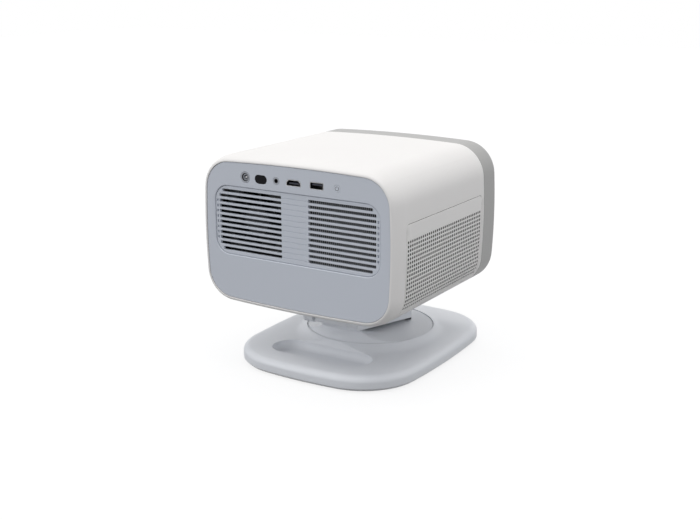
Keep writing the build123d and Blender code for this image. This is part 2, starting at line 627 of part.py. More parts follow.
def make_focus_motor():
    """Stepper motor and lead screw in a bracket on top of the barrel"""
    screw_z = LENS_Z + BARREL_RADIUS + 6
    arm_y = cell_rear_y() - CELL_LENGTH / 2
    motor_front_y = arm_y + 9
    motor = rod(5, LENS_X, screw_z, motor_front_y + 14, motor_front_y)
    motor += rod(1.0, LENS_X, screw_z, motor_front_y, arm_y - 9)
    low_z = LENS_Z + BARREL_RADIUS - 1.5
    motor += block((LENS_X - 4, arm_y - 11, low_z), (LENS_X + 4, arm_y - 9, screw_z + 4))
    motor += block((LENS_X - 6, motor_front_y + 1, low_z), (LENS_X + 6, motor_front_y + 13, screw_z))
    return motor - rod(BARREL_RADIUS, LENS_X, LENS_Z, ENGINE_FRONT_Y, BARREL_FRONT_Y - 1)


def make_light_source():
    """Light source block bolted to the rear of the engine"""
    half = ENGINE_WIDTH / 2 - 8
    low_y = ENGINE_REAR_Y
    return block((-half, low_y, ENGINE_BOTTOM_Z + 4),
                 (half - 20, low_y + LIGHT_LENGTH, ENGINE_BOTTOM_Z + ENGINE_HEIGHT - 4))


def sink_rear_y():
    """Rear edge of the fins, a little in front of the louvre"""
    return PANEL_BACK_Y - 1.7


def make_heat_sink():
    """Upright fins on a base plate, seen through one group of louvre slots"""
    rear_y = sink_rear_y()
    low_z, high_z = GRILLE_BOTTOM_Z, GRILLE_TOP_Z
    sink = block((-SINK_OUTER_X, rear_y - SINK_DEPTH, low_z), (-SINK_INNER_X, rear_y - SINK_DEPTH + SINK_BASE, high_z))
    pitch = (SINK_OUTER_X - SINK_INNER_X - FIN_THICKNESS) / (SINK_FINS - 1)
    fins = []
    for number in range(SINK_FINS):
        x = -SINK_OUTER_X + number * pitch
        fins.append(block((x, rear_y - SINK_DEPTH + SINK_BASE, low_z), (x + FIN_THICKNESS, rear_y, high_z)))
    sink = sink + fins
    leg_z = CHASSIS_Z + CHASSIS_THICKNESS
    for x in (-SINK_OUTER_X + 8, -SINK_INNER_X - 6):
        sink += block((x - 4, rear_y - SINK_DEPTH, leg_z), (x + 4, rear_y - SINK_DEPTH + SINK_BASE, low_z))
    return sink


def make_heat_pipes():
    """Two pipes from the light source to the base of the fins"""
    from_y = ENGINE_REAR_Y + LIGHT_LENGTH
    to_y = sink_rear_y() - SINK_DEPTH
    return [rod(PIPE_RADIUS, -24, z, to_y, from_y) for z in (LENS_Z - 12, LENS_Z + 12)]


def fan_face_y():
    """Rear face of the fan frame"""
    return GRILLE_BACK_Y - 6.0


def make_fan_frame():
    """Square fan housing with four spokes, a motor cup and two legs on the chassis"""
    rear_y = fan_face_y()
    front_y = rear_y - FAN_DEPTH
    frame = prism(RectangleRounded(2 * FAN_HALF, 2 * FAN_HALF, 4), rear_y, front_y, FAN_Z, FAN_X)
    frame -= rod(FAN_TIP_RADIUS + FAN_TIP_GAP, FAN_X, FAN_Z, rear_y + 1, front_y - 1)
    spoke = prism(Rectangle(2 * FAN_TIP_RADIUS + 4, 3), front_y + 2, front_y, FAN_Z, FAN_X)
    frame += spoke + prism(Rectangle(3, 2 * FAN_TIP_RADIUS + 4), front_y + 2, front_y, FAN_Z, FAN_X)
    frame += rod(FAN_HUB_RADIUS - 2, FAN_X, FAN_Z, front_y + 2.4, front_y)
    frame += rod(FAN_SHAFT_RADIUS, FAN_X, FAN_Z, rear_y - 4, front_y)
    leg_z = CHASSIS_Z + CHASSIS_THICKNESS
    for side in (-1, 1):
        x = FAN_X + side * (FAN_HALF - 5)
        frame += block((x - 3, front_y + 2, leg_z), (x + 3, rear_y - 5, FAN_Z - FAN_HALF + 2))
    return frame


def make_fan_rotor():
    """Hub and pitched blades on the fan's shaft"""
    rear_y = fan_face_y() - 1.5
    front_y = fan_face_y() - FAN_DEPTH + 3.4
    rotor = rod(FAN_HUB_RADIUS, FAN_X, FAN_Z, rear_y, front_y)
    rotor -= rod(FAN_SHAFT_RADIUS + FIT, FAN_X, FAN_Z, rear_y - 2, front_y - 1)
    middle_y = (rear_y + front_y) / 2
    span = FAN_TIP_RADIUS - FAN_HUB_RADIUS + 2
    rim = rod(FAN_TIP_RADIUS, FAN_X, FAN_Z, rear_y, front_y)
    for number in range(FAN_BLADES):
        angle = 360 / FAN_BLADES * number
        blade = Pos(0, 0, FAN_HUB_RADIUS - 2 + span / 2) * Rot(0, 0, 42) * Box(1.2, 13, span)
        rotor += (Pos(FAN_X, middle_y, FAN_Z) * Rot(0, angle, 0) * blade) & rim
    return rotor


def make_main_board():
    """Main board hung under the roof's posts, with its largest chips"""
    top_z = BOARD_Z + BOARD_THICKNESS
    rear_y = PANEL_BACK_Y - 1.0
    board = block((-BOARD_HALF_WIDTH, BOARD_FRONT_Y, BOARD_Z), (BOARD_HALF_WIDTH, rear_y, top_z))
    board += block((-14, BOARD_FRONT_Y + 6, top_z), (14, BOARD_FRONT_Y + 30, top_z + 2))
    board += block((24, BOARD_FRONT_Y + 8, top_z), (38, BOARD_FRONT_Y + 22, top_z + 1.5))
    for x, y in board_posts():
        board -= post(SCREW_RADIUS + 0.2, x, y, BOARD_Z - 1, top_z + 1)
    return board


def port_base(half_width, x, front_y):
    """Block that stands a socket on the main board"""
    return block((x - half_width, front_y, BOARD_Z + BOARD_THICKNESS), (x + half_width, PANEL_BACK_Y - 0.4, PORT_Z))


def make_dc_jack():
    """Round supply socket with its centre pin"""
    front_y = PANEL_FACE_Y - PORT_DEPTH
    jack = rod(DC_RING_RADIUS, DC_X, PORT_Z, PANEL_FACE_Y, front_y - 1.5)
    jack += port_base(DC_RING_RADIUS, DC_X, front_y - 1.5)
    jack &= block((DC_X - 20, front_y - 2, BOARD_Z + BOARD_THICKNESS), (DC_X + 20, HEAD_REAR_Y, PORT_Z + 20))
    jack -= rod(DC_RADIUS, DC_X, PORT_Z, PANEL_FACE_Y + 1, front_y)
    return jack + rod(DC_PIN_RADIUS, DC_X, PORT_Z, PANEL_FACE_Y - 1.5, front_y)


def make_ir_window():
    """Dark oval receiver window with a rim behind the panel"""
    window = prism(SlotOverall(WINDOW_LENGTH, WINDOW_HEIGHT), PANEL_FACE_Y - 0.2, PANEL_BACK_Y, PORT_Z, WINDOW_X)
    return window + prism(SlotOverall(WINDOW_LENGTH + 2, WINDOW_HEIGHT + 2), PANEL_BACK_Y, PANEL_BACK_Y - 1,
                          PORT_Z, WINDOW_X)


def make_audio_jack():
    """Headphone socket with a raised collar"""
    front_y = PANEL_FACE_Y - AUDIO_DEPTH
    jack = rod(AUDIO_RING_RADIUS, AUDIO_X, PORT_Z, PANEL_FACE_Y, front_y - 1.5)
    jack += port_base(AUDIO_RING_RADIUS, AUDIO_X, front_y - 1.5)
    return jack - rod(AUDIO_RADIUS, AUDIO_X, PORT_Z, PANEL_FACE_Y + 1, front_y)


def make_video_socket():
    """Video socket: folded shell, tongue and board legs"""
    front_y = PANEL_FACE_Y - PORT_DEPTH
    shell = prism(video_outline(), PANEL_FACE_Y, front_y - 1, PORT_Z, VIDEO_X)
    shell -= prism(video_outline(-SOCKET_WALL), PANEL_FACE_Y + 1, front_y, PORT_Z, VIDEO_X)
    shell += prism(Rectangle(VIDEO_WIDTH - 4, TONGUE_THICKNESS), PANEL_FACE_Y - 1.2, front_y, PORT_Z + 0.4, VIDEO_X)
    legs = block((VIDEO_X - VIDEO_WIDTH / 2 + VIDEO_CHAMFER + 1, front_y - 1, BOARD_Z + BOARD_THICKNESS),
                 (VIDEO_X + VIDEO_WIDTH / 2 - VIDEO_CHAMFER - 1, PANEL_BACK_Y - 0.4, PORT_Z - VIDEO_HEIGHT / 2))
    return shell + legs


def make_data_socket():
    """Data socket: rectangular shell with its tongue near the top"""
    front_y = PANEL_FACE_Y - PORT_DEPTH
    shell = prism(Rectangle(DATA_WIDTH, DATA_HEIGHT), PANEL_FACE_Y, front_y - 1, PORT_Z, DATA_X)
    shell -= prism(Rectangle(DATA_WIDTH - 2 * SOCKET_WALL, DATA_HEIGHT - 2 * SOCKET_WALL),
                   PANEL_FACE_Y + 1, front_y, PORT_Z, DATA_X)
    tongue = Rectangle(DATA_WIDTH - 3, TONGUE_THICKNESS)
    shell += prism(tongue, PANEL_FACE_Y - 1.2, front_y, PORT_Z + DATA_HEIGHT / 2 - SOCKET_WALL - 1.5, DATA_X)
    legs = block((DATA_X - DATA_WIDTH / 2, front_y - 1, BOARD_Z + BOARD_THICKNESS),
                 (DATA_X + DATA_WIDTH / 2, PANEL_BACK_Y - 0.4, PORT_Z - DATA_HEIGHT / 2))
    return shell + legs


def button_stem_y():
    """Front end of the power button's stem at rest"""
    return PANEL_BACK_Y - 4.0


def make_power_button():
    """Button cap with a retaining flange behind the panel and a stem to the switch"""
    cap = rod(BUTTON_RADIUS, BUTTON_X, PORT_Z, PANEL_FACE_Y, PANEL_BACK_Y - 0.3)
    flange = rod(BUTTON_RADIUS + BUTTON_FLANGE, BUTTON_X, PORT_Z, PANEL_BACK_Y - 0.3, PANEL_BACK_Y - 1.3)
    return cap + flange + rod(1.2, BUTTON_X, PORT_Z, PANEL_BACK_Y - 1.3, button_stem_y())


def make_power_switch():
    """Tactile switch on the main board behind the button's stem"""
    rear_y = button_stem_y() - BUTTON_TRAVEL - 0.15
    return block((BUTTON_X - 3, rear_y - 5, BOARD_Z + BOARD_THICKNESS), (BUTTON_X + 3, rear_y, PORT_Z + 3))


def saddle_underside(y):
    """Height of the saddle's sloping lower edge at y"""
    return SADDLE_LOW_Z - (SADDLE_REAR_Y - y) * math.tan(math.radians(SADDLE_SLOPE))


def make_saddle():
    """Wedge-shaped arm under the head: two hinge cheeks, a roof and a nose that meets the turntable"""
    corners = [(SADDLE_REAR_Y, SADDLE_TOP_Z), (SADDLE_REAR_Y, SADDLE_LOW_Z),
               (SADDLE_FRONT_Y, saddle_underside(SADDLE_FRONT_Y)), (SADDLE_FRONT_Y - 1, SADDLE_TOP_Z)]
    side_view = make_face(Polyline(*corners, close=True))
    low_corner = side_view.vertices().group_by(Axis.X)[-1].sort_by(Axis.Y)[0]
    side_view = fillet(low_corner, SADDLE_CORNER)
    saddle = extrude(sideways() * side_view, amount=SADDLE_HALF_WIDTH, both=True)
    nose = saddle.faces().sort_by(Axis.Y)[0].edges()
    saddle = fillet([nose.sort_by(Axis.X)[0], nose.sort_by(Axis.X)[-1]], SADDLE_NOSE)
    saddle -= block((-CHEEK_INNER_X, SADDLE_FRONT_Y + SADDLE_NOSE, 0),
                    (CHEEK_INNER_X, SADDLE_REAR_Y + 1, SADDLE_TOP_Z - SADDLE_ROOF))
    saddle -= axle(PIN_RADIUS + FIT, TILT_Y, TILT_Z, -SADDLE_HALF_WIDTH - 1, SADDLE_HALF_WIDTH + 1)
    for side in (-1, 1):
        low, high = sorted((side * (SADDLE_HALF_WIDTH - CAP_THICKNESS), side * (SADDLE_HALF_WIDTH + 1)))
        saddle -= axle(CAP_RADIUS + FIT, TILT_Y, TILT_Z, low, high)
    for x, y in SADDLE_SCREWS:
        saddle -= post(SCREW_RADIUS + 0.2, x, y, SADDLE_TOP_Z - SADDLE_ROOF - 1, SADDLE_TOP_Z + 1)
    return saddle


def make_tilt_pin():
    """Steel hinge pin through both cheeks and the knuckle"""
    half = SADDLE_HALF_WIDTH - CAP_THICKNESS - 0.1
    return axle(PIN_RADIUS, TILT_Y, TILT_Z, -half, half)


def make_hinge_caps():
    """Plastic caps that close the pin's bore on each side"""
    inner, outer = SADDLE_HALF_WIDTH - CAP_THICKNESS, SADDLE_HALF_WIDTH
    return [axle(CAP_RADIUS, TILT_Y, TILT_Z, inner, outer), axle(CAP_RADIUS, TILT_Y, TILT_Z, -outer, -inner)]


def make_friction_washers():
    """Ring washers in the gaps between the knuckle and the cheeks"""
    washers = []
    for side in (-1, 1):
        middle = side * (KNUCKLE_HALF_WIDTH + CHEEK_GAP / 2)
        ring = axle(WASHER_RADIUS, TILT_Y, TILT_Z, middle - WASHER_THICKNESS / 2, middle + WASHER_THICKNESS / 2)
        washers.append(ring - axle(PIN_RADIUS + FIT, TILT_Y, TILT_Z, middle - 2, middle + 2))
    return washers


def dome_section(share):
    """Outline of the turntable's dome at a share of its height, wide below and narrow at the neck"""
    spread = (1 - share) ** 3
    z = DISC_TOP_Z - 0.5 + (NECK_TOP_Z - DISC_TOP_Z + 0.5) * share
    neck_half = KNUCKLE_HALF_WIDTH - NECK_STEP
    half_w = neck_half + (DOME_HALF_WIDTH - neck_half) * spread
    front = NECK_FRONT_Y + (DOME_FRONT_Y - NECK_FRONT_Y) * spread
    rear = NECK_REAR_Y - 4 + (DOME_REAR_Y - NECK_REAR_Y + 4) * spread + 4 * share
    return superellipse(half_w, (rear - front) / 2, 3.0, z, (rear + front) / 2)


def superellipse(half_x, half_y, power, z, centre_y=0.0):
    """Face bounded by one smooth superellipse"""
    return Pos(0, centre_y, z) * make_face(Spline(*superellipse_points(half_x, half_y, power), periodic=True))


def superellipse_points(half_x, half_y, power, count=16):
    """Points of a superellipse at equal steps of its angle"""
    points = []
    for number in range(count):
        angle = 2 * math.pi * number / count
        c, s = math.cos(angle), math.sin(angle)
        reach = (abs(c / half_x) ** power + abs(s / half_y) ** power) ** (-1 / power)
        points.append((reach * c, reach * s))
    return points


def make_turntable():
    """Round turntable with the domed neck and the hinge's centre knuckle"""
    profile = make_face(Polyline((0, DISC_BOTTOM_Z), (DISC_RADIUS, DISC_BOTTOM_Z), (DISC_RADIUS, DISC_TOP_Z),
                                 (0, DISC_TOP_Z), close=True))
    rim = profile.vertices().group_by(Axis.X)[-1].sort_by(Axis.Y)[-1]
    disc = revolve(Plane.XZ * fillet(rim, DISC_EDGE_RADIUS), Axis.Z)
    dome = loft([dome_section(share) for share in (0.0, 0.07, 0.18, 0.34, 0.6, 1.0)])
    knuckle = axle(KNUCKLE_RADIUS, TILT_Y, TILT_Z, -KNUCKLE_HALF_WIDTH, KNUCKLE_HALF_WIDTH)
    body = disc + dome + knuckle
    body -= axle(PIN_RADIUS + FIT, TILT_Y, TILT_Z, -KNUCKLE_HALF_WIDTH - 1, KNUCKLE_HALF_WIDTH + 1)
    return body - post(SHAFT_FLANGE_RADIUS + FIT, 0, 0, DISC_BOTTOM_Z - 1, DISC_BOTTOM_Z + SHAFT_FLANGE)


def shaft_bottom_z():
    """Lower end of the pan shaft, clear of the bottom plate"""
    return PLATE_Z + 1.0


def make_pan_shaft():
    """Flanged hollow shaft under the turntable"""
    shaft = post(SHAFT_RADIUS, 0, 0, shaft_bottom_z(), DISC_BOTTOM_Z + SHAFT_FLANGE)
    shaft += post(SHAFT_FLANGE_RADIUS, 0, 0, DISC_BOTTOM_Z, DISC_BOTTOM_Z + SHAFT_FLANGE)
    return shaft - post(SHAFT_BORE, 0, 0, 0, DISC_BOTTOM_Z + SHAFT_FLANGE + 1)


def make_pan_nut():
    """Retaining nut on the shaft, under the bush"""
    top_z = BUSH_BOTTOM_Z - 0.3
    nut = Pos(0, 0, top_z - NUT_HEIGHT) * extrude(RegularPolygon(NUT_RADIUS, 6), amount=NUT_HEIGHT)
    return nut - post(SHAFT_RADIUS + FIT, 0, 0, 0, top_z + 1)


def make_rest_pads():
    """Two soft pads on the turntable, on which the saddle's nose rests when level"""
    top_z = saddle_underside(REST_PAD_Y - REST_PAD_RADIUS) - 0.2
    return [post(REST_PAD_RADIUS, x, REST_PAD_Y, DISC_TOP_Z, top_z) for x in (-REST_PAD_X, REST_PAD_X)]


def make_pan_bush():
    """Plain bearing of the pan shaft in the foot"""
    bush = post(BUSH_OUTER_RADIUS, 0, 0, BUSH_BOTTOM_Z, POCKET_Z)
    return bush - post(SHAFT_RADIUS + FIT, 0, 0, 0, POCKET_Z + 1)


def make_slide_ring():
    """Low-friction ring between the foot's pocket and the turntable"""
    ring = post(SLIDE_RING_RADIUS + SLIDE_RING_WIDTH / 2, 0, 0, POCKET_Z, POCKET_Z + SLIDE_RING_THICKNESS)
    return ring - post(SLIDE_RING_RADIUS - SLIDE_RING_WIDTH / 2, 0, 0, 0, FOOT_CREST_Z)


def foot_outline(inset, z):
    """Outline of the foot, drawn in by inset"""
    outline = bulging_rectangle(FOOT_HALF_WIDTH - inset, FOOT_HALF_DEPTH - inset, FOOT_SIDE_BULGE,
                                FOOT_END_BULGE, FOOT_CORNER - inset)
    return Pos(0, FOOT_CENTRE_Y, z) * outline


def make_crest():
    """Ring that rises in a concave curve from the foot's flat top to the turntable"""
    rim = DISC_RADIUS + DISC_GAP
    low, high = FOOT_PLATEAU_Z - 1, FOOT_CREST_Z
    end = rim + FOOT_CREST_WIDTH
    middle = (rim + 0.4 * FOOT_CREST_WIDTH, FOOT_PLATEAU_Z + 0.22 * (FOOT_CREST_Z - FOOT_PLATEAU_Z))
    edges = [ThreePointArc((rim, high), middle, (end, FOOT_PLATEAU_Z)),
             Polyline((end, FOOT_PLATEAU_Z), (end, low), (rim - 1, low), (rim - 1, high), (rim, high))]
    return revolve(Plane.XZ * make_face(edges), Axis.Z)


def recess_outline(grow, z):
    """Stadium outline of the finger recess"""
    return Pos(RECESS_X, RECESS_Y, z) * SlotOverall(RECESS_LENGTH + 2 * grow, RECESS_WIDTH + 2 * grow)


def make_foot_shell():
    """Moulded foot: rounded edge, flare up to the turntable, finger recess, pocket and bearing boss"""
    foot = extrude(foot_outline(0, FOOT_LIFT), amount=FOOT_PLATEAU_Z - FOOT_LIFT)
    foot = fillet(foot.faces().sort_by(Axis.Z)[-1].edges(), FOOT_ROUND)
    foot = chamfer(foot.faces().sort_by(Axis.Z)[0].edges(), FOOT_UNDERCUT)
    foot += make_crest()
    foot -= post(DISC_RADIUS + DISC_GAP, 0, 0, POCKET_Z, FOOT_CREST_Z + 1)
    keep = extrude(recess_outline(RECESS_WALL, 0), amount=CAVITY_TOP_Z)
    keep += post(BOSS_OUTER_RADIUS, 0, 0, BUSH_BOTTOM_Z, CAVITY_TOP_Z)
    for x, y in FOOT_SCREWS:
        keep += post(BOSS_RADIUS, x, y, PLATE_Z, CAVITY_TOP_Z)
    keep &= block((-200, -200, PLATE_Z), (200, 200, CAVITY_TOP_Z))
    foot -= extrude(foot_outline(FOOT_WALL, 0), amount=CAVITY_TOP_Z) - keep
    foot -= post(BUSH_OUTER_RADIUS, 0, 0, BUSH_BOTTOM_Z - 1, POCKET_Z + 1)
    for x, y in FOOT_SCREWS:
        foot -= post(SCREW_RADIUS, x, y, 0, CAVITY_TOP_Z - 1)
    scoop = loft([recess_outline(-RECESS_FLOOR_INSET, RECESS_FLOOR_Z), recess_outline(0, FOOT_CREST_Z)])
    scoop = fillet(scoop.edges().group_by(Axis.Z)[0], RECESS_BLEND)
    return foot - scoop


def make_bottom_plate():
    """Flat plate that closes the foot"""
    plate = extrude(foot_outline(FOOT_WALL + PLATE_GAP, PAD_THICKNESS), amount=PLATE_THICKNESS)
    for x, y in FOOT_SCREWS:
        plate -= post(SCREW_RADIUS + 0.2, x, y, 0, PLATE_Z + 1)
        plate -= post(SCREW_HEAD_RADIUS + 0.2, x, y, 0, PAD_THICKNESS + 1)
    return plate


def make_foot_screws():
    """Flat screws through the bottom plate into the foot's bosses"""
    screws = []
    for x, y in FOOT_SCREWS:
        head = bolt(SCREW_HEAD_RADIUS, x, y, PAD_THICKNESS + 0.1, PAD_THICKNESS + 1)
        screws.append(head + bolt(SCREW_RADIUS - FIT, x, y, PAD_THICKNESS + 1, CAVITY_TOP_Z - 2))
    return screws


def make_foot_pad():
    """Rubber sheet under the foot"""
    return extrude(foot_outline(PAD_INSET, 0), amount=PAD_THICKNESS)


def make_ballast():
    """Steel weight on the bottom plate"""
    weight = extrude(foot_outline(FOOT_WALL + 4, PLATE_Z), amount=BALLAST_THICKNESS)
    recess_front_y = RECESS_Y - RECESS_WIDTH / 2 - RECESS_WALL - 1
    weight -= block((-FOOT_HALF_WIDTH, recess_front_y, 0), (FOOT_HALF_WIDTH, FOOT_CENTRE_Y + FOOT_HALF_DEPTH, FOOT_CREST_Z))
    weight -= post(BOSS_OUTER_RADIUS + 2, 0, 0, 0, FOOT_CREST_Z)
    for x, y in FOOT_SCREWS:
        if y < recess_front_y:
            weight -= post(BOSS_RADIUS + 1, x, y, 0, FOOT_CREST_Z)
    return weight


def make_all():
    """Every node of the projector by name"""
    outer = head_outer()
    saddle_seat_z = SADDLE_TOP_Z - SADDLE_ROOF
    chassis_top_z = CHASSIS_Z + CHASSIS_THICKNESS
    return {
        "foot_shell": make_foot_shell(),
        "foot_bottom_plate": make_bottom_plate(),
        "foot_pad": make_foot_pad(),
        "foot_ballast": make_ballast(),
        "foot_screws": make_foot_screws(),
        "pan_bush": make_pan_bush(),
        "pan_slide_ring": make_slide_ring(),
        "turntable": make_turntable(),
        "pan_shaft": make_pan_shaft(),
        "pan_nut": make_pan_nut(),
        "tilt_rest_pads": make_rest_pads(),
        "saddle": make_saddle(),
        "saddle_screws": [screw(x, y, saddle_seat_z, 11, head_up=False) for x, y in SADDLE_SCREWS],
        "tilt_pin": make_tilt_pin(),
        "hinge_caps": make_hinge_caps(),
        "friction_washers": make_friction_washers(),
        "head_shell": make_head_shell(outer),
        "rear_panel": make_rear_panel(),
        "rear_grille": make_rear_grille(),
        "front_ring": make_front_ring(),
        "front_panel": make_front_panel(),
        "lens_trim": make_lens_trim(),
        "lens_window": make_lens_window(),
        "sensor_window": make_sensor_window(),
        "camera_module": make_camera_module(),
        "side_grille_left": make_side_grille(outer, 1),
        "side_grille_right": make_side_grille(outer, -1),
        "speaker_left": make_speaker_basket(1),
        "speaker_right": make_speaker_basket(-1),
        "speaker_cone_left": make_speaker_cone(1),
        "speaker_cone_right": make_speaker_cone(-1),
        "chassis": make_chassis(),
        "chassis_screws": [screw(x, y, chassis_top_z, 5) for x, y in CHASSIS_SCREWS],
        "engine_bracket": make_engine_bracket(),
        "optical_engine": make_optical_engine(),
        "lens_barrel": make_lens_barrel(),
        "focus_motor": make_focus_motor(),
        "light_source": make_light_source(),
        "heat_pipes": make_heat_pipes(),
        "heat_sink": make_heat_sink(),
        "fan_frame": make_fan_frame(),
        "main_board": make_main_board(),
        "board_screws": [screw(x, y, BOARD_Z, 5, head_up=False) for x, y in board_posts()],
        "dc_jack": make_dc_jack(),
        "ir_window": make_ir_window(),
        "audio_jack": make_audio_jack(),
        "video_socket": make_video_socket(),
        "data_socket": make_data_socket(),
        "power_switch": make_power_switch(),
        "power_button": make_power_button(),
        "fan_rotor": make_fan_rotor(),
        "focus_cell": make_focus_cell(),
        "focus_glass": make_focus_glass(),
    }


def main():
    """Write one STEP file for each node"""
    os.makedirs("parts", exist_ok=True)
    for name, solid in make_all().items():
        if isinstance(solid, list):
            solid = Compound(children=solid)
        export_step(solid, f"parts/{name}.step")


if __name__ == "__main__":
    main()
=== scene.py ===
import math

import bmesh
import bpy
from bpy.props import FloatProperty, FloatVectorProperty, IntProperty, PointerProperty
from mathutils import Matrix, Vector
from mathutils.geometry import delaunay_2d_cdt


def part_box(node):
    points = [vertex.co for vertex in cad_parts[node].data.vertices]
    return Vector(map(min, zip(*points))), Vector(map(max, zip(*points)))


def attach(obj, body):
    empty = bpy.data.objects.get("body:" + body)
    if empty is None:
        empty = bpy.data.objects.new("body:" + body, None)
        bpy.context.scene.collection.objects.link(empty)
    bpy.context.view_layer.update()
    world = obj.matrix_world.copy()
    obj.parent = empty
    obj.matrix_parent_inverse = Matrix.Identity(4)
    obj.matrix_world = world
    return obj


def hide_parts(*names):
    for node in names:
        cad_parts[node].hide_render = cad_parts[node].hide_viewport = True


bl_info = {
    "name": "Swivel Projector Finish",
    "version": (1, 0, 0),
    "blender": (4, 5, 0),
    "location": "View3D > Sidebar > Projector",
    "description": "Skins, finishes and studio for a home projector on a swivelling, tilting stand",
    "category": "Object",
}

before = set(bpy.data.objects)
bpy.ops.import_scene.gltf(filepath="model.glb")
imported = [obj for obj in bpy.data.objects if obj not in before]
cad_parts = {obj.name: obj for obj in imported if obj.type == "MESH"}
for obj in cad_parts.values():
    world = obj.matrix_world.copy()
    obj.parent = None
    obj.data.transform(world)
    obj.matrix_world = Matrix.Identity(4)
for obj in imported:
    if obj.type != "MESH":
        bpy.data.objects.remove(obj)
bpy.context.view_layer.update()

MM = 0.001
WELD = 0.002 * MM
FINE = 1e-8
WHITE = (1.0, 1.0, 1.0, 1.0)

RING_LOW, RING_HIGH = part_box("front_ring")
SLEEVE_LOW, SLEEVE_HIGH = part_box("head_shell")
PANEL_LOW, PANEL_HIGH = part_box("rear_panel")
GRILLE_LOW, GRILLE_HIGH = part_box("rear_grille")
WINDOW_LOW, WINDOW_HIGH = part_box("side_grille_left")
FRONT_LOW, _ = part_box("front_panel")
JACK_LOW, JACK_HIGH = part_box("dc_jack")
IR_LOW, IR_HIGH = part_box("ir_window")
AUDIO_LOW, AUDIO_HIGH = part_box("audio_jack")
VIDEO_LOW, VIDEO_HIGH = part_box("video_socket")
DATA_LOW, DATA_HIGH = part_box("data_socket")
BUTTON_LOW, BUTTON_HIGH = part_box("power_button")
_, SADDLE_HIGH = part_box("saddle")
_, SINK_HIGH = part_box("heat_sink")
TABLE_LOW, TABLE_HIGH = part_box("turntable")
FOOT_LOW, FOOT_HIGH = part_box("foot_shell")
PIN_LOW, PIN_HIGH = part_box("tilt_pin")

HEAD_CENTRE_Z = (RING_LOW.z + RING_HIGH.z) / 2
REAR_Y = SLEEVE_HIGH.y
SLEEVE_FRONT_Y = SLEEVE_LOW.y
PANEL_FACE_Y = PANEL_HIGH.y
GRILLE_FACE_Y = GRILLE_HIGH.y
PORT_RADIUS = (JACK_HIGH.x - JACK_LOW.x) / 2
PORT_Z = JACK_HIGH.z - PORT_RADIUS
BUTTON_FLANGE = 1.2 * MM
BUTTON_RADIUS = (BUTTON_HIGH.x - BUTTON_LOW.x) / 2 - BUTTON_FLANGE
TILT_Y = (PIN_LOW.y + PIN_HIGH.y) / 2
TILT_Z = (PIN_LOW.z + PIN_HIGH.z) / 2
SADDLE_HEEL_Z = 39.2 * MM
SADDLE_SLOPE = math.radians(8.6)
NECK_FRONT = 52.5 * MM
LEDGE_Z = 39.8 * MM
POCKET_GAP = 0.25 * MM
POCKET_RADIUS = TABLE_HIGH.x + POCKET_GAP


def middle(low, high, axis):
    """Centre of a box along one axis"""
    return (low[axis] + high[axis]) / 2


# Settings that a user would change

class HeadSettings(bpy.types.PropertyGroup):
    corner: FloatProperty(name="Corner Radius", description="Radius of the head's long edges",
                          default=30.8 * MM, unit="LENGTH")
    side_bulge: FloatProperty(name="Side Bulge", description="How far the sides swell outwards",
                              default=3.7 * MM, unit="LENGTH")
    top_bulge: FloatProperty(name="Top Bulge", description="How far top and bottom swell outwards",
                             default=2.65 * MM, unit="LENGTH")
    wall: FloatProperty(name="Wall", description="Thickness of the moulded sleeve",
                        default=2.5 * MM, unit="LENGTH")
    rear_length: FloatProperty(name="Rear Rounding Length",
                               description="Length of the soft rear rounding",
                               default=16.9 * MM, unit="LENGTH")
    rear_inset: FloatProperty(name="Rear Rounding Inset",
                              description="How far the rear rounding draws in",
                              default=5 * MM, unit="LENGTH")
    rim: FloatProperty(name="Rear Rim", description="Width of the flat rim round the rear panel",
                       default=0.6 * MM, unit="LENGTH")
    front_round: FloatProperty(name="Front Rounding",
                               description="Radius of the front bezel's edge",
                               default=7.5 * MM, unit="LENGTH")
    lip: FloatProperty(name="Front Lip",
                       description="Width of the bezel in front of the front panel",
                       default=9 * MM, unit="LENGTH")
    seam: FloatProperty(name="Seam", description="Gap between neighbouring covers",
                        default=0.3 * MM, unit="LENGTH")
    soft_edge: FloatProperty(name="Edge Radius",
                             description="Radius of the moulded edges at the seams",
                             default=0.45 * MM, unit="LENGTH")


class VentSettings(bpy.types.PropertyGroup):
    hole_radius: FloatProperty(name="Hole Radius",
                               description="Radius of the holes in the side panels",
                               default=1.38 * MM, unit="LENGTH")
    hole_pitch: FloatProperty(name="Hole Pitch",
                              description="Spacing of the holes in the side panels",
                              default=3.67 * MM, unit="LENGTH")
    hole_rows: IntProperty(name="Hole Rows", description="Rows of holes in each side panel",
                           default=17)
    slot_rows: IntProperty(name="Louvre Rows", description="Rows of slots in the rear louvre",
                           default=12)
    slot_pitch: FloatProperty(name="Louvre Pitch", description="Spacing of the louvre's slots",
                              default=4.84 * MM, unit="LENGTH")
    slot_height: FloatProperty(name="Slot Height", description="Height of each slot",
                               default=2.8 * MM, unit="LENGTH")
    slot_inner: FloatProperty(name="Slot Start",
                              description="Inner end of the slots from the middle",
                              default=14.1 * MM, unit="LENGTH")
    slot_outer: FloatProperty(name="Slot End",
                              description="Outer end of the slots from the middle",
                              default=82 * MM, unit="LENGTH")


class StandSettings(bpy.types.PropertyGroup):
    side_bulge: FloatProperty(name="Side Bulge", description="How far the foot's long sides swell",
                              default=7 * MM, unit="LENGTH")
    end_bulge: FloatProperty(name="End Bulge", description="How far the foot's ends swell",
                             default=9 * MM, unit="LENGTH")
    corner: FloatProperty(name="Corner Radius", description="Corner radius of the foot",
                          default=57.3 * MM, unit="LENGTH")
    plateau: FloatProperty(name="Foot Top", description="Height of the foot's flat top",
                           default=15.4 * MM, unit="LENGTH")
    crest: FloatProperty(name="Crest Height", description="Height of the foot beside the turntable",
                         default=22.1 * MM, unit="LENGTH")
    crest_width: FloatProperty(name="Crest Width",
                               description="Width of the rise round the turntable",
                               default=12 * MM, unit="LENGTH")


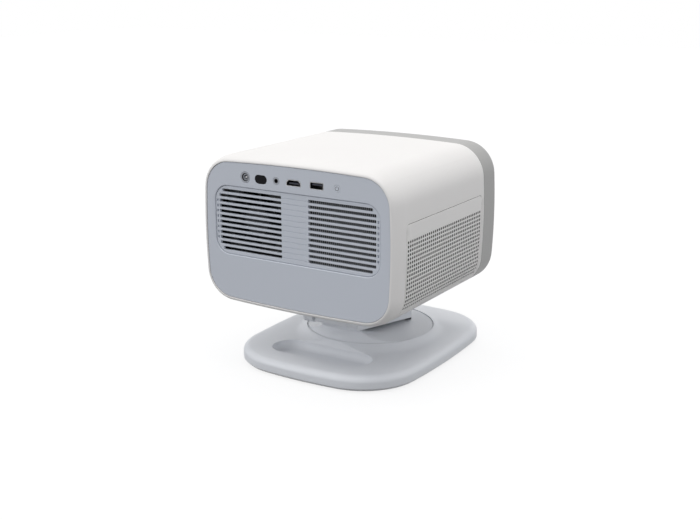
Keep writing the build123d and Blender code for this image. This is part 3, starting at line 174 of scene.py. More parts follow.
class ColourSettings(bpy.types.PropertyGroup):
    housing: FloatVectorProperty(name="Housing", description="Warm white of the head's housing",
                                 default=(0.87, 0.85, 0.83), subtype="COLOR")
    stand: FloatVectorProperty(name="Stand", description="Cool light grey of foot and turntable",
                               default=(0.79, 0.805, 0.835), subtype="COLOR")
    panel: FloatVectorProperty(name="Rear Panel", description="Cool grey of rear panel and louvre",
                               default=(0.61, 0.64, 0.70), subtype="COLOR")
    ring: FloatVectorProperty(name="Front Ring", description="Warm grey of the front bezel",
                              default=(0.42, 0.415, 0.405), subtype="COLOR")


def head_settings():
    return bpy.context.scene.projector_head


def vent_settings():
    return bpy.context.scene.projector_vents


def stand_settings():
    return bpy.context.scene.projector_stand


def colours():
    return bpy.context.scene.projector_colours


# Outlines

class Outline:
    """Closed line in a plane, run anticlockwise, with the outward normal at each point"""

    def __init__(self, pairs):
        self.points = [point for point, _ in pairs]
        self.normals = [normal for _, normal in pairs]

    def at(self, inset):
        """The same line drawn in by inset"""
        return [point - normal * inset for point, normal in zip(self.points, self.normals)]

    def moved(self, u, v):
        """The same line at another place"""
        shift = Vector((u, v))
        return Outline([(point + shift, normal)
                        for point, normal in zip(self.points, self.normals)])


def arc(centre, radius, start, end, steps):
    """Points and normals along an arc, both ends included"""
    pairs = []
    for step in range(steps + 1):
        angle = start + (end - start) * step / steps
        normal = Vector((math.cos(angle), math.sin(angle)))
        pairs.append((centre + normal * radius, normal))
    return pairs


def circle(u, v, radius, steps=24):
    """Round outline"""
    return Outline(arc(Vector((u, v)), radius, 0.0, 2 * math.pi, steps)[:-1])


def rounded_polygon(corners, radius, steps=6):
    """Convex outline through the corners, each rounded by radius"""
    pairs = []
    count = len(corners)
    for number, corner in enumerate(corners):
        spot = Vector(corner)
        before = (spot - Vector(corners[number - 1])).normalized()
        after = (Vector(corners[(number + 1) % count]) - spot).normalized()
        first = Vector((before.y, -before.x))
        last = Vector((after.y, -after.x))
        centre = spot - (first + last) * (radius / (1 + first.dot(last)))
        start = math.atan2(first.y, first.x)
        turn = (math.atan2(last.y, last.x) - start) % (2 * math.pi)
        pairs += arc(centre, radius, start, start + turn, steps)
    return Outline(pairs)


def rounded_rectangle(u, v, half_w, half_h, radius, steps=6):
    """Rectangle with rounded corners about (u, v)"""
    corners = [(u - half_w, v - half_h), (u + half_w, v - half_h),
               (u + half_w, v + half_h), (u - half_w, v + half_h)]
    return rounded_polygon(corners, radius, steps)


class BulgingRectangle(Outline):
    """Rounded rectangle whose four sides are shallow arcs, about the plane's origin"""

    def __init__(self, half_w, half_h, side_bulge, end_bulge, corner, levels=()):
        u, v = half_w - side_bulge, half_h - end_bulge
        side_radius = (v * v + side_bulge * side_bulge) / (2 * side_bulge)
        end_radius = (u * u + end_bulge * end_bulge) / (2 * end_bulge)
        self.side_centre = Vector((half_w - side_radius, 0.0))
        end_centre = Vector((0.0, half_h - end_radius))
        self.side_radius, self.corner = side_radius, corner
        self.corner_centre = self.meet(side_radius - corner, end_centre, end_radius - corner)
        side_way = self.corner_centre - self.side_centre
        end_way = self.corner_centre - end_centre
        self.side_angle = math.atan2(side_way.y, side_way.x)
        end_angle = math.atan2(end_way.y, end_way.x)
        side_steps, corner_steps = 14, 16
        quarter = arc(self.side_centre, side_radius, 0.0, self.side_angle, side_steps)[:-1]
        quarter += arc(self.corner_centre, corner, self.side_angle, end_angle, corner_steps)
        quarter += arc(end_centre, end_radius, end_angle, math.pi / 2, side_steps)[1:]
        quarter += [self.edge_at(abs(level)) for level in levels]
        quarter.sort(key=lambda pair: math.atan2(pair[0].y, pair[0].x))
        upper = quarter + [(flip(p, -1, 1), flip(n, -1, 1)) for p, n in reversed(quarter[:-1])]
        lower = [(flip(p, 1, -1), flip(n, 1, -1)) for p, n in reversed(upper[1:-1])]
        super().__init__(upper + lower)

    def meet(self, side_reach, end_centre, end_reach):
        """Corner arc's centre, where two circles about the side's and the end's centres cross"""
        way = end_centre - self.side_centre
        along = (side_reach ** 2 - end_reach ** 2 + way.length_squared) / (2 * way.length)
        across = math.sqrt(side_reach ** 2 - along ** 2)
        unit = way.normalized()
        options = [self.side_centre + unit * along + Vector((-unit.y, unit.x)) * turn
                   for turn in (across, -across)]
        return max(options, key=lambda spot: spot.x + spot.y)

    def edge_at(self, v):
        """Point and normal on the +u side at height v"""
        level = abs(v)
        centre, radius = self.side_centre, self.side_radius
        if level > self.side_centre.y + self.side_radius * math.sin(self.side_angle):
            centre, radius = self.corner_centre, self.corner
        rise = level - centre.y
        point = Vector((centre.x + math.sqrt(radius ** 2 - rise ** 2), level))
        normal = (point - centre).normalized()
        turn = math.copysign(1.0, v)
        return flip(point, 1, turn), flip(normal, 1, turn)


def flip(vector, u, v):
    """A vector with each part multiplied"""
    return Vector((vector.x * u, vector.y * v))


# Meshes

def link(thing):
    """Puts a new object in the scene"""
    bpy.context.scene.collection.objects.link(thing)
    return thing


class Skin:
    """Mesh under construction, from rings of points, strips between them and flat fills"""

    def __init__(self):
        self.points = []
        self.faces = []

    def add(self, points):
        """Adds points and gives their numbers"""
        first = len(self.points)
        self.points.extend(points)
        return list(range(first, len(self.points)))

    def strip(self, one, other, closed=True):
        """Quads between two lines of points"""
        count = len(one)
        for number in range(count if closed else count - 1):
            after = (number + 1) % count
            self.faces.append((one[number], one[after], other[after], other[number]))

    def rings(self, rings, loop=False):
        """Strips through several closed lines, and back to the first for a loop"""
        numbers = [self.add(ring) for ring in rings]
        for one, other in zip(numbers, numbers[1:]):
            self.strip(one, other)
        if loop:
            self.strip(numbers[-1], numbers[0])
        return numbers

    def cap(self, numbers):
        """Closes a ring with one face"""
        self.faces.append(tuple(numbers))

    def fill(self, loops, place, inner=()):
        """Triangles inside the first loop and outside the others, which are convex"""
        spots, edges, owner = [], [], []
        for number, loop in enumerate(loops):
            first = len(spots)
            spots.extend(loop)
            owner.extend([number] * len(loop))
            edges.extend((first + i, first + (i + 1) % len(loop)) for i in range(len(loop)))
        spots.extend(inner)
        owner.extend([-1] * len(inner))
        found, _, faces, origin, _, _ = delaunay_2d_cdt(spots, edges, [], 1, FINE)
        loop_of = [owner[source[0]] for source in origin]
        first = len(self.points)
        self.points.extend(place(spot) for spot in found)
        for face in faces:
            owners = {loop_of[number] for number in face}
            if len(owners) > 1 or max(owners) <= 0:
                self.faces.append(tuple(first + number for number in face))

    def finish(self, name, body, slot, *nodes, look=None, sharp=38.0):
        """Makes the object: welded, smooth with sharp edges, on its body, in place of its nodes,
        with the finish of its slot or with another look"""
        mesh = bpy.data.meshes.new(name)
        mesh.from_pydata(self.points, [], self.faces)
        work = bmesh.new()
        work.from_mesh(mesh)
        bmesh.ops.remove_doubles(work, verts=work.verts, dist=WELD)
        bmesh.ops.dissolve_degenerate(work, edges=work.edges, dist=WELD / 4)
        bmesh.ops.recalc_face_normals(work, faces=work.faces)
        work.to_mesh(mesh)
        work.free()
        mesh.shade_smooth()
        mesh.set_sharp_from_angle(angle=math.radians(sharp))
        piece = link(bpy.data.objects.new(name, mesh))
        mesh.materials.append(FINISHES[look or slot])
        weighted = piece.modifiers.new("Even shading", "WEIGHTED_NORMAL")
        weighted.keep_sharp = True
        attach(piece, body)
        if nodes:
            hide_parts(*nodes)


def round_over(radius, steps=4):
    """Inset and depth of the rings over a rounded edge, from the face down to the wall"""
    angles = [math.pi / 2 * step / steps for step in range(steps + 1)]
    return [(radius * (1 - math.sin(angle)), radius * (1 - math.cos(angle))) for angle in angles]


def plate(skin, place, thickness, outer, holes=(), pockets=()):
    """Plate with rounded edges. place(u, v, depth) sets a point in space, outer and each hole are
    an outline with its edge radius, and a pocket also has its depth"""
    top, bottom = [], []
    openings = [(*outer, 1, thickness)] + [(*hole, -1, thickness) for hole in holes]
    openings += [(outline, radius, -1, depth) for outline, radius, depth in pockets]
    for outline, radius, sign, depth in openings:
        steps = [(sign * inset, down) for inset, down in round_over(radius)] + [(0.0, depth)]
        skin.rings([[place(p.x, p.y, down) for p in outline.at(inset)] for inset, down in steps])
        top.append(outline.at(sign * radius))
        if depth < thickness:
            skin.fill([outline.at(0.0)], lambda p, d=depth: place(p.x, p.y, d))
        else:
            bottom.append(outline.at(0.0))
    skin.fill(top, lambda p: place(p.x, p.y, 0.0))
    skin.fill(bottom, lambda p: place(p.x, p.y, thickness))


def facing_rear(face_y):
    """Placement of a plate whose face looks back along +Y"""
    return lambda u, v, depth: Vector((u, face_y - depth, v))


def turned(profile, centre, axis, steps=64):
    """Rings of a turned part: pairs of radius and distance along the axis from the centre"""
    turn = axis.to_track_quat("Z", "Y").to_matrix()
    angles = [2 * math.pi * step / steps for step in range(steps)]
    return [[centre + turn @ Vector((radius * math.cos(angle), radius * math.sin(angle), along))
             for angle in angles] for radius, along in profile]


def turn_piece(skin, profile, centre, axis, steps=64, closed=True):
    """Turned solid from its profile, closed at both ends or back onto itself"""
    numbers = skin.rings(turned(profile, centre, axis, steps), loop=not closed)
    if closed:
        skin.cap(numbers[0])
        skin.cap(numbers[-1])


# Shader arithmetic and finishes

class Value:
    """Output of a shader node, with arithmetic that adds Math nodes"""

    def __init__(self, graph, socket):
        self.graph = graph
        self.socket = socket

    def math(self, operation, one, other):
        return self.graph.add("ShaderNodeMath", {"operation": operation}, {0: one, 1: other})

    def __add__(self, other):
        return self.math("ADD", self, other)

    def __radd__(self, other):
        return self.math("ADD", other, self)

    def __sub__(self, other):
        return self.math("SUBTRACT", self, other)

    def __rsub__(self, other):
        return self.math("SUBTRACT", other, self)

    def __mul__(self, other):
        return self.math("MULTIPLY", self, other)

    def __rmul__(self, other):
        return self.math("MULTIPLY", other, self)

    def __or__(self, other):
        return self.math("MAXIMUM", self, other)


class Graph:
    """Node tree of a material or of the world, with its output"""

    def __init__(self, owner, output):
        owner.use_nodes = True
        self.tree = owner.node_tree
        self.tree.nodes.clear()
        self.output = self.tree.nodes.new(output)

    def add(self, kind, settings=None, sockets=None, out=0):
        """A node of any kind: its settings first, then the values or links of its sockets"""
        node = self.tree.nodes.new(kind)
        for name, value in (settings or {}).items():
            if name == "stops":
                self.set_stops(node.color_ramp, value)
            else:
                setattr(node, name, value)
        for key, value in (sockets or {}).items():
            self.put(node.inputs[key], value)
        return Value(self, node.outputs[out])

    def set_stops(self, ramp, stops):
        """Positions and greys of a ramp"""
        while len(ramp.elements) < len(stops):
            ramp.elements.new(1.0)
        for element, (position, grey) in zip(ramp.elements, stops):
            element.position = position
            element.color = (grey, grey, grey, 1.0)

    def put(self, socket, value):
        """A value or a link into a socket"""
        if isinstance(value, Value):
            self.tree.links.new(value.socket, socket)
        else:
            socket.default_value = value

    def show(self, result):
        """Links a shader to the output"""
        self.put(self.output.inputs["Surface"], result)

    def plain_rays(self):
        """1 for rays from the camera, in reflections and through glass, 0 for the light itself"""
        camera, glossy, through = (self.add("ShaderNodeLightPath", out=f"Is {kind} Ray")
                                   for kind in ("Camera", "Glossy", "Transmission"))
        return camera | glossy | through


class Finish(Graph):
    """One material with its shader, built from nodes"""

    def __init__(self, name):
        self.material = bpy.data.materials.new(name)
        super().__init__(self.material, "ShaderNodeOutputMaterial")
        self.shader = self.tree.nodes.new("ShaderNodeBsdfPrincipled")
        self.surface = Value(self, self.shader.outputs[0])
        self.show(self.surface)

    def set(self, sockets):
        """Values and links of the shader's own sockets"""
        for name, value in sockets.items():
            self.put(self.shader.inputs[name], value)

    def where(self, scale=(1.0, 1.0, 1.0)):
        """Place on the object, scaled along each axis"""
        spot = self.add("ShaderNodeTexCoord", out="Object")
        return self.add("ShaderNodeVectorMath", {"operation": "MULTIPLY"}, {0: spot, 1: scale})

    def noise(self, scale, detail=2.0, roughness=0.5, spot=None):
        """Soft noise from 0 to 1"""
        return self.add("ShaderNodeTexNoise", {"normalize": True},
                        {"Vector": spot or self.where(), "Scale": scale, "Detail": detail,
                         "Roughness": roughness})

    def ramp(self, value, *stops):
        """Grey from a value, by stops of position and grey"""
        return self.add("ShaderNodeValToRGB", {"stops": stops}, {"Fac": value})

    def tint(self, factor, dark, light):
        """Colour between two colours"""
        return self.add("ShaderNodeMix", {"data_type": "RGBA"},
                        {0: factor, 6: (*dark, 1.0), 7: (*light, 1.0)}, out=2)

    def bump(self, height, distance, strength):
        """Normal that follows a height, whose full rise is the distance"""
        return self.add("ShaderNodeBump", None,
                        {"Height": height, "Distance": distance, "Strength": strength})


def shade(colour, share):
    """A colour made darker or lighter"""
    return tuple(min(1.0, part * share) for part in colour)


def moulded(name, colour, roughness, grain=0.035, coat=0.0, mottle=0.02):
    """Moulded plastic: spark-eroded grain in mm, faint flow mottling and slightly uneven gloss"""
    finish = Finish(name)
    cloud = finish.noise(14.0, detail=3.0)
    fine = finish.noise(2600.0, roughness=0.6)
    dark, light = shade(colour, 1 - mottle), shade(colour, 1 + mottle)
    finish.set({"Base Color": finish.tint(cloud, dark, light),
                "Roughness": roughness - 0.05 + 0.06 * cloud + 0.04 * fine,
                "Normal": finish.bump(fine, grain * MM, 0.35),
                "IOR": 1.5, "Coat Weight": coat, "Coat Roughness": 0.25})
    return finish.material


def metal(name, colour, roughness, brush=(40.0, 2200.0, 40.0), depth=0.01):
    """Metal with lines along its brushed or rolled direction, their depth in mm"""
    finish = Finish(name)
    lines = finish.noise(1.0, detail=3.0, roughness=0.6, spot=finish.where(brush))
    spots = finish.noise(60.0)
    finish.set({"Base Color": finish.tint(spots, shade(colour, 0.94), colour),
                "Roughness": roughness - 0.06 + 0.12 * lines + 0.04 * spots,
                "Normal": finish.bump(lines, depth * MM, 0.4), "Metallic": 1.0})
    return finish.material


def painted_light_fins(name, dark, painted_lit_edge):
    """Cooling fins with painted light: near-black sides as painted shade and a lighter band at the
    rear edges as a painted highlight
    """
    finish = Finish(name)
    depth = finish.add("ShaderNodeSeparateXYZ", None, {0: finish.where()}, out=1)
    lit_edge_length, fade = 0.7 * MM, 0.3 * MM
    lit_edge_from = SINK_HIGH.y - lit_edge_length
    # Painted highlight on the rear edge of each fin, painted shade on the rest of it
    edge = finish.ramp((depth - lit_edge_from) * (1 / fade), (0.0, 0.0), (1.0, 1.0))
    streaks = finish.noise(900.0)
    finish.set({"Base Color": finish.tint(edge, dark, painted_lit_edge),
                "Roughness": 0.4 + 0.1 * streaks,
                "Normal": finish.bump(streaks, 0.01 * MM, 0.3)})
    return finish.material


def gloss(name, colour, roughness, coat, shine):
    """Dark glossy plastic with a faint haze"""
    finish = Finish(name)
    haze = finish.noise(35.0, detail=3.0)
    waves = finish.noise(60.0, detail=1.0)
    finish.set({"Base Color": finish.tint(haze, shade(colour, 0.8), colour),
                "Roughness": roughness + 0.03 * haze,
                "Normal": finish.bump(waves, 0.01 * MM, 0.2),
                "Specular IOR Level": shine, "Coat Weight": coat, "Coat Roughness": 0.03})
    return finish.material


def glass(name, colour, film):
    """Optical glass with a thin coating, whose tint shows at a slant"""
    finish = Finish(name)
    facing = finish.add("ShaderNodeLayerWeight", None, {"Blend": 0.35}, out="Facing")
    finish.set({"Base Color": finish.tint(facing, colour, film),
                "Roughness": 0.01 + 0.01 * finish.noise(80.0), "Transmission Weight": 1.0,
                "IOR": 1.52, "Coat Weight": 1.0, "Coat Roughness": 0.02})
    return finish.material


def board(name):
    """Solder mask with tracks under it"""
    finish = Finish(name)
    cells = finish.add("ShaderNodeTexVoronoi", {"distance": "MANHATTAN", "feature": "F1"},
                       {"Vector": finish.where(), "Scale": 380.0}, out="Distance")
    tracks = finish.ramp(cells, (0.42, 0.0), (0.5, 1.0))
    finish.set({"Base Color": finish.tint(tracks, (0.01, 0.09, 0.035), (0.02, 0.16, 0.07)),
                "Roughness": 0.3 + 0.1 * tracks,
                "Normal": finish.bump(tracks, 0.03 * MM, 0.5)})
    return finish.material


def paper(name):
    """Pulp of a loudspeaker cone"""
    finish = Finish(name)
    fibres = finish.noise(900.0, detail=4.0, roughness=0.7)
    finish.set({"Base Color": finish.tint(fibres, (0.012, 0.012, 0.013), (0.05, 0.05, 0.052)),
                "Roughness": 0.8 + 0.1 * fibres,
                "Normal": finish.bump(fibres, 0.1 * MM, 0.6)})
    return finish.material


def cloth(name):
    """Fine woven acoustic cloth, near-black so that it also paints the shade inside the vent holes
    """
    finish = Finish(name)
    warp, weft = (finish.add("ShaderNodeTexWave", {"wave_type": "BANDS", "bands_direction": way},
                             {"Vector": finish.where(), "Scale": 420.0}) for way in ("Y", "Z"))
    threads = warp * weft
    finish.set({"Base Color": finish.tint(threads, (0.004, 0.004, 0.004), (0.016, 0.016, 0.017)),
                "Roughness": 0.9 - 0.1 * threads,
                "Normal": finish.bump(threads, 0.08 * MM, 0.5)})
    return finish.material


def make_finishes():
    """Every material by the slot or the use that it belongs to"""
    paint = colours()
    return {
        "shell_white": moulded("Housing white", paint.housing, 0.46),
        "stand_white": moulded("Stand grey", paint.stand, 0.42),
        "rear_grey": moulded("Rear panel grey", paint.panel, 0.44),
        "button_grey": moulded("Button grey", shade(paint.panel, 1.05), 0.38),
        "ring_grey": moulded("Front ring grey", paint.ring, 0.42),
        "front_dark": moulded("Front panel black", (0.010, 0.010, 0.011), 0.3, grain=0.01,
                              coat=0.1),
        "dark_gloss": gloss("Sensor window black", (0.003, 0.003, 0.005), 0.2, coat=0.0,
                            shine=0.12),
        "trim_metal": metal("Trim anodised", (0.32, 0.32, 0.33), 0.3),
        "cover_glass": glass("Cover glass", (0.96, 0.97, 1.0), film=(0.82, 0.86, 1.0)),
        "lens_glass": glass("Lens glass", (0.9, 0.95, 1.0), film=(0.55, 0.5, 0.95)),
        "rubber": moulded("Rubber grey", (0.06, 0.06, 0.062), 0.75, grain=0.06),
        "steel": metal("Screw steel", (0.56, 0.55, 0.53), 0.32),
        "sheet_steel": metal("Zinc sheet", (0.5, 0.51, 0.52), 0.38, brush=(300.0, 300.0, 300.0)),
        "bearing_plastic": moulded("Bearing plastic", (0.75, 0.74, 0.7), 0.35, grain=0.01),
        "cast_aluminium": metal("Cast aluminium", (0.58, 0.58, 0.59), 0.5,
                                brush=(900.0, 900.0, 900.0), depth=0.05),
        # Fins: near-black painted shade on their sides, a lighter painted highlight on their rear
        # edges
        "fin_aluminium": painted_light_fins("Fin aluminium", (0.004, 0.004, 0.005), painted_lit_edge=(0.36, 0.36, 0.37)),
        "copper": metal("Heat pipe copper", (0.75, 0.36, 0.2), 0.28),
        "black_plastic": moulded("Inner black", (0.012, 0.012, 0.013), 0.45, grain=0.02),
        "socket_black": moulded("Socket black", (0.012, 0.012, 0.014), 0.3, grain=0.01),
        "socket_metal": metal("Socket plating", (0.62, 0.62, 0.63), 0.25),
        "cone_paper": paper("Cone paper"),
        "board_green": board("Circuit board"),
        # Cloth is near-black: real cloth that also paints the shade inside the vent holes
        "cloth": cloth("Acoustic cloth"),
        "collar": moulded("Socket collar", (0.42, 0.44, 0.48), 0.35, grain=0.01),
        "tongue": moulded("Socket tongue", (0.012, 0.014, 0.03), 0.4, grain=0.01),
        "print": moulded("Printed grey", (0.06, 0.063, 0.07), 0.5, grain=0.01),
    }


FINISHES = {}


# Head

def head_outline():
    """Section of the head, with points at the limits of the side windows' bands"""
    size = head_settings()
    return BulgingRectangle(RING_HIGH.x, (RING_HIGH.z - RING_LOW.z) / 2, size.side_bulge,
                            size.top_bulge, size.corner, window_band())


def window_band():
    """Lowest and highest level of the wall patch that holds a side window"""
    margin = 4 * MM
    return (WINDOW_LOW.z - margin - HEAD_CENTRE_Z, WINDOW_HIGH.z + margin - HEAD_CENTRE_Z)


def window_outline(grow):
    """Outline of the side window, in the plane of Y and height above the head's centre"""
    corner = 5 * MM
    return rounded_rectangle(middle(WINDOW_LOW, WINDOW_HIGH, 1),
                             middle(WINDOW_LOW, WINDOW_HIGH, 2) - HEAD_CENTRE_Z,
                             (WINDOW_HIGH.y - WINDOW_LOW.y) / 2 + grow,
                             (WINDOW_HIGH.z - WINDOW_LOW.z) / 2 + grow, corner + grow, 8)


def on_side(outline, side):
    """Placement on the head's curved side wall, from Y, height and depth below the surface"""
    def place(y, level, depth):
        point, normal = outline.edge_at(level)
        spot = point - normal * depth
        return Vector((side * spot.x, y, HEAD_CENTRE_Z + spot.y))
    return place


def section_rings(outline, steps):
    """The head's section as rings in space, one for each inset and Y"""
    return [[Vector((p.x, y, HEAD_CENTRE_Z + p.y)) for p in outline.at(inset)]
            for inset, y in steps]


def wall_with_windows(skin, outline, inset, start_y, end_y, edge):
    """Long wall between two sections, with the rounded window left open in each side"""
    low, high = window_band()
    patch_width = 13 * MM
    side_from = outline.edge_at(low)[0].x - patch_width
    ends = section_rings(outline, [(inset, start_y), (inset, end_y)])
    one, other = (skin.add(ring) for ring in ends)
    covered = [low - FINE <= p.y <= high + FINE and abs(p.x) > side_from for p in outline.points]
    for number in range(len(one)):
        after = (number + 1) % len(one)
        if not (covered[number] and covered[after]):
            skin.faces.append((one[number], one[after], other[after], other[number]))
    levels = sorted(p.y for p, inside in zip(outline.points, covered) if inside and p.x > 0)
    rim = window_outline(head_settings().seam)
    border = [Vector((start_y, level)) for level in levels]
    border += [Vector((end_y, level)) for level in reversed(levels)]
    for side in (-1, 1):
        place = on_side(outline, side)
        skin.fill([border, rim.at(-edge)], lambda p: place(p.x, p.y, inset))
    return rim


def ellipse_steps(start_y, end_y, inset, steps=12):
    """Inset and Y of the sections over the long rear rounding"""
    angles = [math.pi / 2 * step / steps for step in range(steps + 1)]
    return [(inset * (1 - math.cos(angle)), start_y + (end_y - start_y) * math.sin(angle))
            for angle in angles]


def make_head_sleeve():
    """Sleeve in one piece: soft rear rounding with its rim, stepped recess and two side windows"""
    size = head_settings()
    outline = head_outline()
    edge = size.soft_edge
    round_start = REAR_Y - size.rear_length
    inner = size.rear_inset + size.rim
    rim_edge = 0.25 * MM
    ledge_y = PANEL_LOW.y
    ledge_width = ledge_height = 3 * MM
    recess = inner + size.seam + ledge_width
    skin = Skin()
    front = [(size.wall, SLEEVE_FRONT_Y)]
    front += [(inset, SLEEVE_FRONT_Y + down) for inset, down in round_over(edge)]
    skin.rings(section_rings(outline, front))
    rim = wall_with_windows(skin, outline, 0.0, SLEEVE_FRONT_Y + edge, round_start, edge)
    rear = ellipse_steps(round_start, REAR_Y, size.rear_inset)
    rear += [(inner - inset, REAR_Y - down) for inset, down in round_over(rim_edge, 3)]
    rear += [(inner, ledge_y), (recess, ledge_y), (recess, ledge_y - ledge_height),
             (size.wall, ledge_y - ledge_height)]
    skin.rings(section_rings(outline, rear))
    wall_with_windows(skin, outline, size.wall, SLEEVE_FRONT_Y, ledge_y - ledge_height, 0.0)
    for side in (-1, 1):
        place = on_side(outline, side)
        steps = [(-inset, down) for inset, down in round_over(edge)] + [(0.0, size.wall)]
        skin.rings([[place(p.x, p.y, down) for p in rim.at(inset)] for inset, down in steps])
    skin.finish("shell_sleeve", "head", "shell_white", "head_shell")


def vent_holes():
    """Outline of each round hole in a side panel, row by row from the top"""
    vents = vent_settings()
    front_margin, rear_margin, top_margin = 5 * MM, 3.1 * MM, 15.2 * MM
    low_y, high_y = WINDOW_LOW.y + front_margin, WINDOW_HIGH.y - rear_margin
    top = WINDOW_HIGH.z - top_margin - HEAD_CENTRE_Z
    last = round((high_y - low_y) / vents.hole_pitch)
    return [circle(low_y + (high_y - low_y) * column / last, top - row * vents.hole_pitch,
                   vents.hole_radius, 10)
            for row in range(vents.hole_rows) for column in range(last + 1)]


def make_side_grille(side, name):
    """Perforated panel that follows the side wall, thin behind its holes and thick at its rim"""
    outline = head_outline()
    place = on_side(outline, side)
    holes = vent_holes()
    thickness, field_thickness = 1.6 * MM, 0.4 * MM
    edge = head_settings().soft_edge
    rim, rim_width = window_outline(0.0), 1.2 * MM
    field = rim.at(rim_width)
    columns, drops = 9, (3.4 * MM, 7.2 * MM, 11.0 * MM, 76.4 * MM)
    grid = [Vector((WINDOW_LOW.y + (WINDOW_HIGH.y - WINDOW_LOW.y) * column / columns,
                    WINDOW_HIGH.z - drop - HEAD_CENTRE_Z))
            for column in range(1, columns) for drop in drops]
    skin = Skin()
    steps = round_over(edge) + [(0.0, thickness)]
    skin.rings([[place(p.x, p.y, down) for p in rim.at(inset)] for inset, down in steps])
    for hole in holes:
        skin.rings([[place(p.x, p.y, down) for p in hole.points]
                    for down in (0.0, field_thickness)])
    loops = [hole.points for hole in holes]

    def back(p):
        return place(p.x, p.y, field_thickness if inside_convex(p, field) else thickness)

    skin.fill([rim.at(edge)] + loops, lambda p: place(p.x, p.y, 0.0), grid)
    skin.fill([rim.points] + loops, back, grid)
    skin.finish(name, "head", "shell_white", name.replace("vent", "side_grille"))


def make_cloth_with_painted_shade(side, name):
    """Acoustic cloth bonded behind the holes, whose near-black also paints the shade seen through
    them
    """
    place = on_side(head_outline(), side)
    overlap, front, back = 1.6 * MM, 0.44 * MM, 0.8 * MM
    rim = window_outline(overlap).points
    columns, levels = range(-24, 104, 12), range(-50, 18, 6)
    grid = [Vector((y * MM, level * MM)) for y in columns for level in levels]
    skin = Skin()
    skin.rings([[place(p.x, p.y, depth) for p in rim] for depth in (front, back)])
    skin.fill([rim], lambda p: place(p.x, p.y, front), grid)
    skin.fill([rim], lambda p: place(p.x, p.y, back), grid)
    skin.finish(name, "head", "black_plastic", look="cloth")


def make_front_ring():
    """Bezel with a full rounding in front, a lip before the front panel and a spigot at the rear"""
    size = head_settings()
    rear_y = SLEEVE_FRONT_Y - size.seam
    front_y, spigot_y = RING_LOW.y, RING_HIGH.y
    wall, play = 5.5 * MM, 0.2 * MM
    spigot = size.wall + play
    lip_back_y = FRONT_LOW.y
    lip_edge = 0.6 * MM
    profile = [(inset, rear_y - down) for inset, down in round_over(size.soft_edge)]
    front_round = reversed(round_over(size.front_round, 10))
    profile += [(inset, front_y + down) for inset, down in front_round]
    profile += [(size.lip - inset, front_y + down) for inset, down in round_over(lip_edge, 3)]
    profile += [(size.lip, lip_back_y), (wall, lip_back_y), (wall, spigot_y), (spigot, spigot_y),
                (spigot, rear_y)]
    skin = Skin()
    skin.rings(section_rings(head_outline(), profile), loop=True)
    skin.finish("front_bezel", "head", "ring_grey", "front_ring")


def port_outlines(gap):
    """Outline of each opening in the rear panel, larger than its socket by gap"""
    video_x = middle(VIDEO_LOW, VIDEO_HIGH, 0)
    video_w = (VIDEO_HIGH.x - VIDEO_LOW.x) / 2 + gap
    video_h = VIDEO_HIGH.z - PORT_Z + gap
    cut = 2.2 * MM
    video = [(video_x + u, PORT_Z + v) for u, v in (
        (-video_w, -video_h), (video_w, -video_h), (video_w, video_h - cut),
        (video_w - cut, video_h), (cut - video_w, video_h), (-video_w, video_h - cut))]
    data_w = (DATA_HIGH.x - DATA_LOW.x) / 2 + gap
    data_h = DATA_HIGH.z - PORT_Z + gap
    video_corner, data_corner = 0.4 * MM, 0.5 * MM
    ir_margin_x, ir_margin_z, ir_drop, ir_roundness = 1 * MM, 1.5 * MM, 0.4 * MM, 0.95
    ir_w = (IR_HIGH.x - IR_LOW.x) / 2 - ir_margin_x + gap
    ir_h = IR_HIGH.z - PORT_Z - ir_margin_z + gap
    audio_radius = (AUDIO_HIGH.x - AUDIO_LOW.x) / 2
    return {
        "dc": circle(middle(JACK_LOW, JACK_HIGH, 0), PORT_Z, PORT_RADIUS + gap, 32),
        "ir": rounded_rectangle(middle(IR_LOW, IR_HIGH, 0), PORT_Z - ir_drop, ir_w, ir_h,
                                ir_h * ir_roundness, 10),
        "audio": circle(middle(AUDIO_LOW, AUDIO_HIGH, 0), PORT_Z, audio_radius + gap, 28),
        "video": rounded_polygon(video, video_corner, 3),
        "data": rounded_rectangle(middle(DATA_LOW, DATA_HIGH, 0), PORT_Z, data_w, data_h,
                                  data_corner, 3),
        "button": circle(middle(BUTTON_LOW, BUTTON_HIGH, 0), PORT_Z, BUTTON_RADIUS + gap, 28),
    }


def louvre_outline(grow):
    """Outline of the louvre insert, or of its opening where it grows"""
    flange, corner = 3 * MM, 14 * MM
    return rounded_rectangle(0.0, middle(GRILLE_LOW, GRILLE_HIGH, 2), GRILLE_HIGH.x - flange + grow,
                             (GRILLE_HIGH.z - GRILLE_LOW.z) / 2 - flange + grow, corner + grow, 12)


def make_rear_panel():
    """Rear panel with the bevelled louvre opening and an opening for each socket"""
    size = head_settings()
    head = head_outline()
    inset = size.rear_inset + size.rim + size.seam
    outline = Outline(list(zip(head.at(inset), head.normals))).moved(0.0, HEAD_CENTRE_Z)
    outer_edge, louvre_edge, port_edge = 0.6 * MM, 0.9 * MM, 0.25 * MM
    port_gap = 0.15 * MM
    holes = [(louvre_outline(size.seam), louvre_edge)]
    holes += [(port, port_edge) for port in port_outlines(port_gap).values()]
    skin = Skin()
    plate(skin, facing_rear(PANEL_FACE_Y), PANEL_HIGH.y - PANEL_LOW.y, (outline, outer_edge), holes)
    skin.finish("rear_cover", "head", "rear_grey", "rear_panel")


